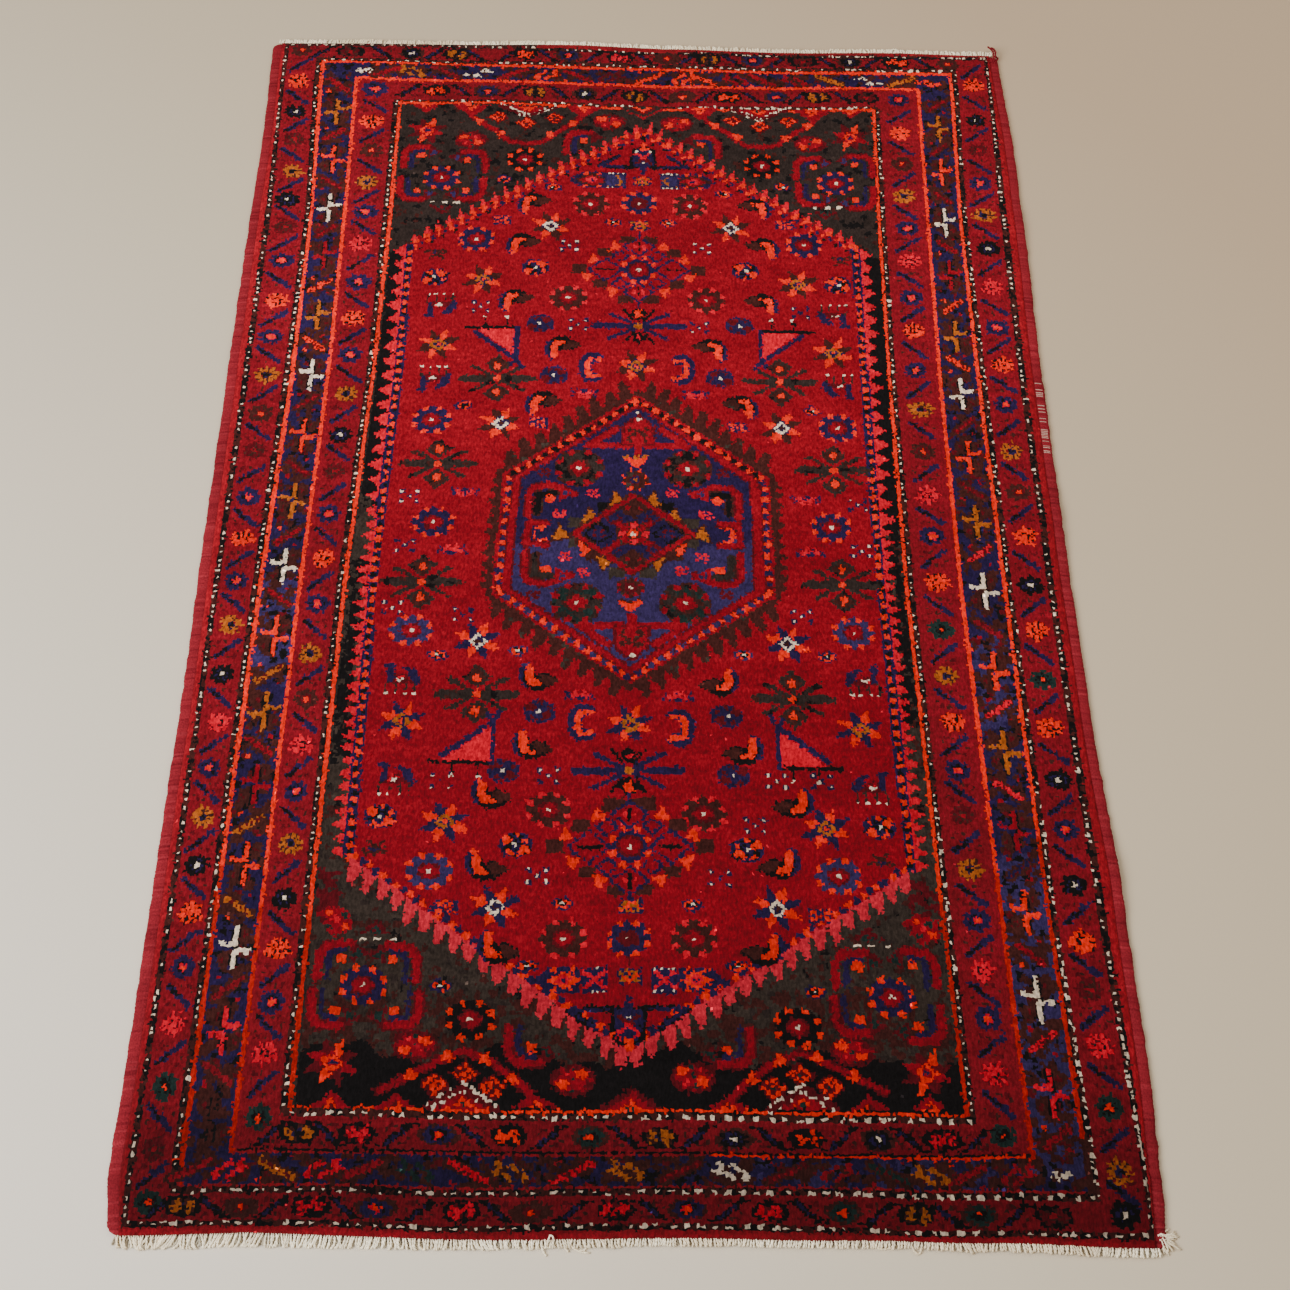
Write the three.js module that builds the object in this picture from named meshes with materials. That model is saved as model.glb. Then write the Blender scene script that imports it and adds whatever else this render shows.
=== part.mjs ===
// A hand-knotted oriental rug lying flat on a floor: the knotted carpet, the overcast cord sewn along
// each side, and the cut warp ends that stick out of both short ends as a low cream fringe.
// Millimetres, +Z up, floor at z = 0. +Y runs along the rug from its near end to its far end.
import * as THREE from "three";

// Driving dimensions.
const RUG_LENGTH = 2112; // knotted pile, end to end
const CARPET_THICKNESS = 11; // foundation and pile together
const PILE_EDGE_ROUNDING = 2.5; // how far the pile draws in at the top of its rim
const SELVEDGE_WIDTH = 14; // the flat overcast band over the outermost warps
const SELVEDGE_THICKNESS = 7;
const FIT_GAP = 0.3; // between pieces that are sewn or woven together
const WEB_WIDTH = 4; // bare woven strip that the warp ends come out of
const WARP_THICKNESS = 3;
const LOCKS = 144; // bunches of warp ends along each short end
const LOCK_ROOT_SHARE = 0.86; // of the spacing between locks
const LOCK_TIP_SHARE = 0.5;

// How finely the outline is followed.
const CELLS_ACROSS = 21;
const CELLS_ALONG = 33;
const RIM_LEVELS = 2;
const SELVEDGE_SIDES = 10;

// The two long edges, outermost thread, at stations along the rug.
const SIDES = [
  { along: -1056, left: -651, right: 655 },
  { along: -975, left: -659, right: 660 },
  { along: -825, left: -656, right: 665 },
  { along: -600, left: -654, right: 663 },
  { along: -300, left: -651, right: 655 },
  { along: 0, left: -652, right: 653 },
  { along: 300, left: -651, right: 654 },
  { along: 600, left: -651, right: 659 },
  { along: 825, left: -648, right: 661 },
  { along: 1056, left: -652, right: 655 },
];

// The two short edges of the pile, at stations across the rug.
const ENDS = [
  { across: -650, near: -1051, far: 1052 },
  { across: -400, near: -1048, far: 1053 },
  { across: -120, near: -1055, far: 1060 },
  { across: 60, near: -1051, far: 1058 },
  { across: 250, near: -1054, far: 1051 },
  { across: 440, near: -1059, far: 1055 },
  { across: 650, near: -1062, far: 1057 },
];

// Low ripples where the cloth stands a little off the floor: the middle of each, the direction of its
// crest in degrees from +X, its half length and half width, and its height.
const RIPPLES = [
  { across: -640, along: 330, crest: -12, reach: 210, half: 80, height: 3.5 },
  { across: -640, along: -420, crest: 8, reach: 240, half: 90, height: 4 },
  { across: 640, along: -560, crest: 170, reach: 260, half: 95, height: 4.5 },
  { across: 640, along: 30, crest: 186, reach: 220, half: 85, height: 3.5 },
  { across: 640, along: 640, crest: 176, reach: 200, half: 80, height: 3 },
];

// Fringe on each short end: which way it points, the mean length of its locks and how much that varies.
const FRINGES = [
  { name: "fringe_near", edge: "near", outward: -1, length: 13, unevenness: 3, lean: 0.16 },
  { name: "fringe_far", edge: "far", outward: 1, length: 9, unevenness: 2, lean: -0.1 },
];

const DYED_RED = new THREE.MeshStandardMaterial({ color: 0x9c1420, roughness: 0.95, metalness: 0 });
const SELVEDGE_RED = new THREE.MeshStandardMaterial({ color: 0xa82233, roughness: 0.9, metalness: 0 });
const RAW_COTTON = new THREE.MeshStandardMaterial({ color: 0xd8ccb6, roughness: 0.95, metalness: 0 });

// A smooth curve through one column of a table, read at a station.
function through(table, station, column) {
  const last = table.length - 1;
  const inside = THREE.MathUtils.clamp(station, table[0].value, table[last].value);
  let i = 0;
  while (i < last - 1 && inside > table[i + 1].value) i += 1;
  const share = (inside - table[i].value) / (table[i + 1].value - table[i].value);
  const eased = THREE.MathUtils.smoothstep(share, 0, 1);
  return THREE.MathUtils.lerp(table[i][column], table[i + 1][column], eased);
}

const SIDE_TABLE = SIDES.map((row) => ({ ...row, value: row.along }));
const END_TABLE = ENDS.map((row) => ({ ...row, value: row.across }));
const sideAt = (along, side) => through(SIDE_TABLE, along, side);
const endAt = (across, end) => through(END_TABLE, across, end);

// How far the underside stands off the floor at a place on the rug.
function liftAt(across, along) {
  let lift = 0;
  for (const ripple of RIPPLES) {
    const turn = THREE.MathUtils.degToRad(ripple.crest);
    const dx = across - ripple.across;
    const dy = along - ripple.along;
    const down = (dx * Math.cos(turn) + dy * Math.sin(turn)) / ripple.reach;
    const off = (-dx * Math.sin(turn) + dy * Math.cos(turn)) / ripple.half;
    if (Math.abs(down) < 1 && Math.abs(off) < 1)
      lift += ripple.height * Math.cos((down * Math.PI) / 2) ** 2 * Math.cos((off * Math.PI) / 2) ** 2;
  }
  return lift;
}

// Moves every vertex of a geometry through a function of its own place.
function reshape(geometry, place) {
  const points = geometry.getAttribute("position");
  const vertex = new THREE.Vector3();
  for (let i = 0; i < points.count; i += 1) {
    vertex.fromBufferAttribute(points, i);
    points.setXYZ(i, ...place(vertex));
  }
  geometry.computeVertexNormals();
  return geometry;
}

// Where the carpet's foundation starts and stops across the rug, inside its side cords.
const carpetSpan = (along) => [
  sideAt(along, "left") + SELVEDGE_WIDTH + FIT_GAP,
  sideAt(along, "right") - SELVEDGE_WIDTH - FIT_GAP,
];

// The knotted carpet: a unit box stretched to the outline, its top rim drawn in as the pile is.
function carpetGeometry() {
  const box = new THREE.BoxGeometry(1, 1, 1, CELLS_ACROSS, CELLS_ALONG, RIM_LEVELS);
  return reshape(box, ({ x, y, z }) => {
    const level = z + 0.5;
    const drawIn = PILE_EDGE_ROUNDING * level ** 3;
    const [left, right] = carpetSpan(y * RUG_LENGTH);
    const across = THREE.MathUtils.lerp(left + drawIn, right - drawIn, x + 0.5);
    const near = endAt(across, "near") + drawIn;
    const far = endAt(across, "far") - drawIn;
    const placed = THREE.MathUtils.lerp(near, far, y + 0.5);
    return [across, placed, level * CARPET_THICKNESS + liftAt(across, placed)];
  });
}

// A side cord: a unit cylinder lying along +Y, flattened to an oval band that follows the edge.
function selvedgeGeometry(side) {
  const inward = side === "left" ? 1 : -1;
  const cord = new THREE.CylinderGeometry(1, 1, 1, SELVEDGE_SIDES, CELLS_ALONG);
  return reshape(cord, ({ x, y, z }) => {
    const middle = sideAt(y * RUG_LENGTH, side) + (inward * SELVEDGE_WIDTH) / 2;
    const across = middle + (x * SELVEDGE_WIDTH) / 2;
    const along = THREE.MathUtils.lerp(endAt(middle, "near"), endAt(middle, "far"), y + 0.5);
    return [across, along, ((1 + z) * SELVEDGE_THICKNESS) / 2 + liftAt(middle, along)];
  });
}

// Repeatable unevenness between -1 and 1 for the nth lock.
const uneven = (n) => Math.sin(n * 2.4) * 0.6 + Math.sin(n * 5.1 + 1) * 0.4;

// A short end's warp ends: a narrow web along the pile's edge with one tooth to each lock.
function fringeGeometry({ edge, outward, length, unevenness, lean }) {
  const [start, stop] = carpetSpan((outward * RUG_LENGTH) / 2);
  const spacing = (stop - start) / LOCKS;
  const inner = (across) => endAt(across, edge) + outward * FIT_GAP;
  const outline = [];
  for (let n = 0; n < LOCKS; n += 1) {
    const middle = start + (n + 0.5) * spacing;
    const root = inner(middle) + outward * WEB_WIDTH;
    const reach = length + unevenness * uneven(n);
    const tip = middle + lean * reach * (1 + uneven(n + 7));
    const rootHalf = (spacing * LOCK_ROOT_SHARE) / 2;
    const tipHalf = (spacing * LOCK_TIP_SHARE) / 2;
    outline.push([middle - rootHalf, root], [tip - tipHalf, root + outward * reach]);
    outline.push([tip + tipHalf, root + outward * reach], [middle + rootHalf, root]);
  }
  // Back along the carpet's edge, bending where that edge bends.
  for (let i = CELLS_ACROSS; i >= 0; i -= 1) {
    const across = THREE.MathUtils.lerp(start, stop, i / CELLS_ACROSS);
    outline.push([across, inner(across)]);
  }
  const shape = new THREE.Shape(outline.map(([x, y]) => new THREE.Vector2(x, y)));
  return new THREE.ExtrudeGeometry(shape, { depth: WARP_THICKNESS, bevelEnabled: false });
}

function piece(name, geometry, material) {
  const mesh = new THREE.Mesh(geometry, material);
  mesh.name = name;
  return mesh;
}

const rug = new THREE.Group();
rug.add(piece("knotted_carpet", carpetGeometry(), DYED_RED));
for (const side of ["left", "right"])
  rug.add(piece(`selvedge_${side}`, selvedgeGeometry(side), SELVEDGE_RED));
for (const fringe of FRINGES)
  rug.add(piece(fringe.name, fringeGeometry(fringe), RAW_COTTON));

// The part's origin is the middle of the floor under the rug.
const middle = new THREE.Box3().setFromObject(rug).getCenter(new THREE.Vector3());
rug.position.set(-middle.x, -middle.y, 0);

export default rug;
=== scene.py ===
# %% [markdown]
# An oriental rug, hand-knotted in wool on cotton warps, lying flat on a floor.
#
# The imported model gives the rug's outline, its thickness and the places where it stands a little off the
# floor. This lesson adds what a weaver adds: the pile, knot by knot, in its dyed colours, the woven back,
# the wool cords overcast along both sides, and the cut warp ends at both short ends.

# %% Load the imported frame
import math

import bpy
import numpy as np
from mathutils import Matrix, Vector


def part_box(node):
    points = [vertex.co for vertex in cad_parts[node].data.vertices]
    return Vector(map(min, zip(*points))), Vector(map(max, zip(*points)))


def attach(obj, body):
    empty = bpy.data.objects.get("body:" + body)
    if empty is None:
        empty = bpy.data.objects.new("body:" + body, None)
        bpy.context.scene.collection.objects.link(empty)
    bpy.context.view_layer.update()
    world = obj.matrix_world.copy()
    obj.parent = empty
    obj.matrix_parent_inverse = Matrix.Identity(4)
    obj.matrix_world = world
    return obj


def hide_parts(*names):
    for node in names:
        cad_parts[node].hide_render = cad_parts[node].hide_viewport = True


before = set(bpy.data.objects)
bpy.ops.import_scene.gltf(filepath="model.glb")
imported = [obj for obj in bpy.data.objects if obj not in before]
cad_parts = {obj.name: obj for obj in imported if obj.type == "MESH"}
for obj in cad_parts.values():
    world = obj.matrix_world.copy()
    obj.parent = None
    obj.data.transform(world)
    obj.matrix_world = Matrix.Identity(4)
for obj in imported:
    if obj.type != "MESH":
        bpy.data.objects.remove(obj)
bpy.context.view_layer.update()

# %% [markdown]
# A hand-knotted rug is woven from a chart on squared paper: one square is one knot, and its mark says
# which yarn to tie. A picture stretched over a plane would be quicker, but it blurs when seen close and
# holds nothing of how the rug is made. So the chart is drawn here as a weaver's draughtsman would, with
# bands, strokes and small charted motifs, and each square later becomes one tuft of pile.
#
# A knot is 3 mm each way, which is usual for a village rug. The chart is in millimetres from the middle
# of the rug, X to the right and Y towards the far end.

# %% The chart's size and its yarns
KNOT = 3.0
CARPET_LEFT = -638.0
CARPET_RIGHT = 640.0
CARPET_NEAR = -1056.0
CARPET_FAR = 1056.0
COLUMNS = round((CARPET_RIGHT - CARPET_LEFT) / KNOT)
ROWS = round((CARPET_FAR - CARPET_NEAR) / KNOT)

YARN_COLOURS = {
    "r": "#8F0B1C",  # madder red of the field
    "m": "#80101D",  # madder of the minor borders, a browner lot
    "e": "#94131F",  # the plain red edge
    "d": "#5C0C16",  # dark madder
    "o": "#F32205",  # orange red
    "v": "#BC1A0E",  # the duller lot of orange red at the near end
    "p": "#D80928",  # pink
    "s": "#D32639",  # pink of the near teeth, a warmer lot
    "w": "#FDE4C8",  # undyed cream
    "k": "#141011",  # black
    "c": "#302522",  # charcoal ground
    "b": "#421C19",  # dark brown
    "n": "#241840",  # indigo, dyed deep
    "u": "#342854",  # indigo, dyed lighter
    "g": "#1C2D2A",  # dark green
    "y": "#AE5719",  # gold
    "q": "#3A2F29",  # faded charcoal of the near corners
}
YARNS = "".join(YARN_COLOURS)
YARN_HEX = list(YARN_COLOURS.values())

chart = np.full((ROWS, COLUMNS), YARNS.index("r"), np.uint8)
across = CARPET_LEFT + (np.arange(COLUMNS) + 0.5) * KNOT
along = CARPET_NEAR + (np.arange(ROWS) + 0.5) * KNOT
CHART_SEED = 7
chance = np.random.default_rng(CHART_SEED)
print("chart:", COLUMNS, "knots across,", ROWS, "rows,", len(YARNS), "yarns")

# %% [markdown]
# A rug off the loom is never a true rectangle, because the tension of the warps changes as the weaving
# goes on. These tables hold how far this one wanders: its side edges and the lines of its borders at
# stations along it, and its short ends at stations across it, all in millimetres. They were measured on
# the photograph once it was flattened to a plan. The side edges and the ends are the ones that the solids
# have.

# %% The outline and the wandering of the border lines
SIDE_STATIONS = np.array([-1056, -975, -825, -600, -300, 0, 300, 600, 825, 1056.0])
LEFT_EDGE = np.array([-651, -659, -656, -654, -651, -652, -651, -651, -648, -652.0])
RIGHT_EDGE = np.array([655, 660, 665, 663, 655, 653, 654, 659, 661, 655.0])
END_STATIONS = np.array([-650, -400, -120, 60, 250, 440, 650.0])
NEAR_END = np.array([-1051, -1048, -1055, -1051, -1054, -1059, -1062.0])
FAR_END = np.array([1052, 1053, 1060, 1058, 1051, 1055, 1057.0])
SELVEDGE_WIDTH = 14.0

LINE_STATIONS = np.array([-950, -600, -100, 300, 660, 950.0])
LINES = {  # each line's place on the chart, and on the rug at the stations above
    "left outer guard": (-625, (-632, -626, -623.6, -621.5, -621.5, -628)),
    "left middle guard": (-564, (-577, -571, -566, -556.4, -554, -567)),
    "left main border": (-556, (-568, -564, -557, -546.4, -547.7, -557.5)),
    "left inner border": (-500, (-510, -505, -500, -491.4, -492.7, -496.5)),
    "left inner guard": (-435, (-450, -446, -441.5, -426, -423, -422)),
    "left field": (-427, (-441, -438.5, -433, -419, -414, -415)),
    "right field": (411, (422, 412, 403, 405.5, 412, 421.5)),
    "right inner guard": (420, (430, 419.3, 411, 412.8, 419.8, 429)),
    "right inner border": (493, (500, 493, 485.7, 487.9, 496.5, 504)),
    "right main border": (556, (567, 557, 551.6, 549.4, 551.6, 564)),
    "right middle guard": (565, (576, 564.6, 560, 559.4, 560, 573.5)),
    "right outer guard": (626, (640, 627.5, 620, 620, 625, 633)),
}
LINE_ON_CHART = np.array([CARPET_LEFT, *(line[0] for line in LINES.values()), CARPET_RIGHT])

# %% [markdown]
# The lines that cross the rug wander too, because a weaver beats the rows down harder in one place than in
# another. This second table was read from the same plan. A chart row lies so many millimetres further along
# the rug than an even spacing of the rows would put it.

# %% The drift of the cross lines
DRIFT_ACROSS = np.array([-600, -480, -380, -250, -100, 50, 200, 350, 480, 600.0])
DRIFT = {  # how much further along the rug each cross line lies than its row, at the places above
    -1056: (1, 3, -1, -2, 1, -1, -1, 1, 2, -1),
    -1038: (-3, -3, -4, -7, -1, -4, -4, -7, -3, -4),
    -996: (-6, -7, -6, -8, -3, -5, -3, -4, -2, -2),
    -946: (-7, -7, -9, -6, -5, -8, -7, -6, -1, -1),
    -899: (-5, -5, -5, -5, -5, -6, -7, -4, -3, -3),
    -860: (0, 0, 0, 0, 0, 0, 0, 0, 0, 0),
    875: (0, 0, 0, 0, 0, 0, 0, 0, 0, 0),
    911: (-1, -1, -1, 0, -12, -14, -6, -3, -3, -3),
    918: (-3, -3, -3, -2, -11, -15, -5, -3, -3, -3),
    965: (6, 6, 2, -1, -7, -10, -4, 0, -3, -3),
    1004: (8, 8, 7, 0, -6, -5, -1, -2, -3, -3),
    1012: (5, 5, 3, -1, -4, -6, -1, 0, -1, -1),
    1051: (4, 7, 7, 1, 0, -3, 2, 0, 0, -2),
    1056: (6, 8, 8, 6, 6, 1, 4, 3, 4, -1),
}


def drift(x, chart_y):
    """Reads the table of drifts between its places, across and along."""
    table = np.array(list(DRIFT.values()), float)
    column = np.interp(x, DRIFT_ACROSS, np.arange(table.shape[1]))
    row = np.interp(chart_y, list(DRIFT), np.arange(table.shape[0]))
    left = np.minimum(column.astype(int), table.shape[1] - 2)
    near = np.minimum(row.astype(int), table.shape[0] - 2)
    nearer = table[near, left] + (table[near, left + 1] - table[near, left]) * (column - left)
    further = table[near + 1, left] + (table[near + 1, left + 1] - table[near + 1, left]) * (column - left)
    return nearer + (further - nearer) * (row - near)


# %% [markdown]
# Motifs are placed where they lie on the rug, but they are tied on the chart. So a place on the rug has to
# be carried back to the chart, through the tables above and a smooth curve between their stations.

# %% From the rug to the chart
OFF_THE_CHART = -9999


def through(stations, values, place):
    """A smooth curve through a table, read at one place or many."""
    inside = np.clip(place, stations[0], stations[-1])
    i = np.clip(np.searchsorted(stations, inside) - 1, 0, len(stations) - 2)
    share = (inside - stations[i]) / (stations[i + 1] - stations[i])
    eased = share * share * (3 - 2 * share)
    return values[i] + (values[i + 1] - values[i]) * eased


def line_places(station):
    """Where the carpet's edges and the border lines run at one station along the rug."""
    left = through(SIDE_STATIONS, LEFT_EDGE, station) + SELVEDGE_WIDTH
    right = through(SIDE_STATIONS, RIGHT_EDGE, station) - SELVEDGE_WIDTH
    between = [np.interp(station, LINE_STATIONS, line[1]) for line in LINES.values()]
    return np.array([left, *between, right])


def to_chart(x, y):
    """Places on the rug, turned into places on the chart."""
    x = np.atleast_1d(np.asarray(x, float))
    y = np.atleast_1d(np.asarray(y, float))
    near = through(END_STATIONS, NEAR_END, x)
    far = through(END_STATIONS, FAR_END, x)
    chart_y = CARPET_NEAR + (CARPET_FAR - CARPET_NEAR) * (y - near) / (far - near)
    chart_y = chart_y - drift(x, chart_y - drift(x, chart_y))
    chart_x = np.empty_like(x)
    rounded = np.round(chart_y, 0)
    for station in np.unique(rounded):
        here = rounded == station
        chart_x[here] = np.interp(x[here], line_places(station), LINE_ON_CHART)
    outside = (x < line_places(0)[0] - 30) | (x > line_places(0)[-1] + 30)
    return np.where(outside, OFF_THE_CHART, chart_x), chart_y


# %% [markdown]
# The draughtsman's tools: a block, a filled outline, a stroke, a spot, and a stamp for a motif that is
# charted by hand, one letter for each knot. A stamp can be mirrored, because a weaver turns the same
# motif over for the other half of the rug, and its letters can be swapped for other yarns.

# %% Tools for drawing on the chart
def window(xs, ys, margin=0.0):
    """The part of the chart around some places, and the places of the knots in it."""
    columns = slice(*np.searchsorted(across, (np.min(xs) - margin, np.max(xs) + margin)))
    rows = slice(*np.searchsorted(along, (np.min(ys) - margin, np.max(ys) + margin)))
    x, y = np.meshgrid(across[columns], along[rows])
    return chart[rows, columns], x, y


def block(left, right, near, far, yarn):
    """Fills a rectangle."""
    part, x, y = window((left, right), (near, far))
    part[...] = YARNS.index(yarn)


def patch(points, yarn):
    """Fills an outline."""
    xs, ys = np.transpose(points)
    part, x, y = window(xs, ys, KNOT)
    inside = np.zeros(x.shape, bool)
    for x0, y0, x1, y1 in zip(xs, ys, np.roll(xs, -1), np.roll(ys, -1)):
        if y0 != y1:
            crossed = (y0 > y) != (y1 > y)
            inside ^= crossed & (x < x0 + (y - y0) * (x1 - x0) / (y1 - y0))
    part[inside] = YARNS.index(yarn)


def stroke(points, width, yarn):
    """Draws a line of some width through the points."""
    xs, ys = np.transpose(points)
    part, x, y = window(xs, ys, width)
    for x0, y0, x1, y1 in zip(xs[:-1], ys[:-1], xs[1:], ys[1:]):
        run = max((x1 - x0) ** 2 + (y1 - y0) ** 2, 1e-9)
        share = np.clip(((x - x0) * (x1 - x0) + (y - y0) * (y1 - y0)) / run, 0, 1)
        gap = np.hypot(x - x0 - share * (x1 - x0), y - y0 - share * (y1 - y0))
        part[gap <= width / 2] = YARNS.index(yarn)


def spot(x, y, yarn, half_width, half_height=None):
    """Fills a round or an oval."""
    half_height = half_height or half_width
    part, px, py = window((x - half_width, x + half_width), (y - half_height, y + half_height), KNOT)
    part[np.hypot((px - x) / half_width, (py - y) / half_height) <= 1] = YARNS.index(yarn)


def stamp(motif, x, y, flip="", swap=None):
    """Ties a charted motif with its middle at a place on the chart. A dot leaves the ground as it is."""
    letters = np.array([list(line) for line in motif.split()])
    letters = letters if "y" in flip else letters[::-1]
    letters = letters[:, ::-1] if "x" in flip else letters
    column = round((x - CARPET_LEFT) / KNOT - letters.shape[1] / 2)
    row = round((y - CARPET_NEAR) / KNOT - letters.shape[0] / 2)
    for letter in set(letters.ravel()) - {"."}:
        rows, columns = np.nonzero(letters == letter)
        rows = rows + row
        columns = columns + column
        kept = (rows >= 0) & (rows < ROWS) & (columns >= 0) & (columns < COLUMNS)
        yarn = (swap or {}).get(letter, letter)
        if yarn != ".":
            chart[rows[kept], columns[kept]] = YARNS.index(yarn)


def turned(x, y, flip, points):
    """A motif's own points, mirrored as asked and moved to a place on the chart."""
    turn_x = -1 if "x" in flip else 1
    turn_y = -1 if "y" in flip else 1
    return [(x + turn_x * px, y + turn_y * py) for px, py in points]


def on_chart(x, y):
    """One place on the rug as a place on the chart."""
    cx, cy = to_chart(x, y)
    return float(cx[0]), float(cy[0])


# %% [markdown]
# From the edge inwards there are eleven bands, each a ring inside the last: the plain edge, then guard
# stripes of black with white dots, two red minor borders with flowers, thin orange lines, and an indigo
# main border between them. Painting ever smaller rectangles over each other leaves exactly those rings.

# %% The bands of the border
BANDS = (  # yarn, then the outer limits: left, right, near, far
    ("e", -638, 640, -1056, 1056),
    ("k", -629.5, 630.5, -1043, 1056),
    ("m", -620.5, 621.5, -1034, 1047),
    ("k", -568.5, 569.5, -1000, 1016),
    ("o", -559.5, 560.5, -991, 1007),
    ("n", -553.5, 554.5, -988, 1002),
    ("o", -502.5, 496.5, -949, 968),
    ("k", -496.5, 490.5, -946, 963),
    ("m", -496.5, 490.5, -943, 963),
    ("k", -439.5, 424.5, -904, 922),
    ("o", -430.5, 415.5, -895, 914),
    ("c", -424.5, 409.5, -890, 908),
)
for yarn, left, right, near, far in BANDS:
    block(left, right, near, far, yarn)
block(-560, 561, -991, -988, "e")
block(-503, 90, -949, -946, "e")
block(-190, 640, 1050, 1056, "e")
block(-190, 621.5, 1041, 1050, "k")
block(-90, 60, 1048, 1056, "e")

for left, right, near, far in (
    (-560, -553.5, -988, -560), (-502.5, -496.5, -949, -620), (-430.5, -424.5, -895, -640),
    (409.5, 415.5, -895, -600), (490.5, 496.5, -949, -560), (554.5, 560.5, -988, -500),
):
    block(left, right, near, far, "v")
block(553, 561, -991, -920, "b")

GUARDS = (BANDS[1], BANDS[3], BANDS[9])
GUARD_WIDTH = 9.0
SIDE_DOT_PITCH = 11.5
FAR_DOT_PITCH = 14.5
NEAR_DOT_PITCH = 17.0


def white_dots(x0, y0, x1, y1, pitch, wide, tall):
    """White knots along a guard stripe, each with the slips of a hand-woven one."""
    count = int(math.hypot(x1 - x0, y1 - y0) / pitch)
    for n in range(count):
        share = (n + 0.5 + chance.normal(0, 0.12)) / count
        x = x0 + (x1 - x0) * share + chance.normal(0, 0.8)
        y = y0 + (y1 - y0) * share + chance.normal(0, 0.8)
        half_x = wide / 2 * chance.uniform(0.7, 1.2)
        half_y = max(tall / 2 * chance.uniform(0.7, 1.2), KNOT / 2 + 0.01)
        if chance.random() > 0.04:
            block(x - half_x, x + half_x, y - half_y, y + half_y, "w")


for yarn, left, right, near, far in GUARDS:
    middle = GUARD_WIDTH / 2
    for x in (left + middle, right - middle):
        white_dots(x, near + GUARD_WIDTH, x, far - GUARD_WIDTH, SIDE_DOT_PITCH, 3.1, 3.6)
    inside_edge = 6.0 if far > 1050 else 0.0
    white_dots(left + 5, far - middle, -190, far - middle, FAR_DOT_PITCH, 5, 2.6)
    white_dots(-190, far - middle - inside_edge, 60, far - middle - inside_edge, FAR_DOT_PITCH, 5, 2.6)
    white_dots(60, far - middle - inside_edge, right - 5, far - middle - inside_edge, FAR_DOT_PITCH, 8, 3.4)
    white_dots(left + 5, near + middle, 0, near + middle, NEAR_DOT_PITCH - 2, 7, 3)
    white_dots(0, near + middle, right - 5, near + middle, NEAR_DOT_PITCH, 8.5, 5)
white_dots(626, -1030, 626, -740, 13, 5, 7)
white_dots(565, -1000, 565, -470, 17, 4, 6)
white_dots(420, -700, 420, -500, 16, 4, 6)
print("guard stripes with white dots:", len(GUARDS))

# %% [markdown]
# The minor borders carry a row of round flowers, with slanted leaves between them that lean one way and
# then the other. The weaver changed yarns from flower to flower in no strict order, and didn't space them
# evenly. So each border is written as a row of words: a place along the border, and the flower's yarn,
# with o orange, y gold, n indigo, k black, b brown, m dark madder, p pink, g green and a dot for none.

# %% Flowers of the minor borders
FLOWER_YARNS = {  # petals, what shows between them, heart, eye
    "o": ("o", "k", "k", "o"),
    "y": ("y", "b", "n", "k"),
    "p": ("p", "d", "k", "p"),
    "m": ("d", "b", "b", "r"),
    "n": ("n", "k", "p", "o"),
    "k": ("k", "n", "k", "w"),
    "b": ("b", "d", "d", "o"),
    "g": ("g", "k", "k", "o"),
}
FLOWER_BORDERS = (  # where, the place across, the flowers, and which way the first leaf leans
    ("side", -594.5, """1037b 958o 885k 817m 741y 675k 612m 537n 450o 372n 292y 217b 143m 55n -22o -98n
        -175y -258k -338p -412n -487y -560k -630o -707n -785p -867g -942m -1010g""", 1),
    ("side", 595.5, """1045. 978o 888k 815m 735n 658y 585k 500p 413n 335o 254n 162y 83b 0o -87k -166o -250g
        -330o -413k -490n -575k -655o -722m -800p -880g -963y -1015k""", 1),
    ("side", -468.0, """943n 863o 793b 718y 649n 576p 491n 413o 337n 256y 175k 105m 24n -58o -138n -225y
        -300b -375p -448n -528y -610k -682o -757n -825p -905g""", -1),
    ("side", 457.0, """939n 854o 779b 703y 629n 555p 475n 404o 322n 242y 160b 75p 0n -84o -168g -247y -322o
        -400n -470m -553y -628n -700p -765n -840p -918g""", 1),
    ("far", 1032, """-605. -515m -415k -333y -270. -210o -133n -40p 45b 120y 200n 290m 375k 460o 555b""", 1),
    ("near", -1018, """-608. -550y -478b -393p -313n -210p -127b -25p 62n 162p 250g 338y 415g 510m""", 1),
    ("far", 943, "-458. -365o -275n -190y -103k -13y 70b 153o 238n 313y 400m", 1),
    ("near", -924, "-480. -415y -343p -243n -157o -57g 28y 120k 210o 298k 378p 465.", 1),
)
LEAF_WIDTH = 8.5
LIGHT_KINDS = "oypm"


def words(text):
    """Splits a row of words into places, yarns and what follows them, such as 952r< into 952, r and <."""
    for word in text.split():
        number = word.rstrip(YARNS + "<>.")
        yield float(number), word[len(number)], word[len(number) + 1 :]


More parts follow.
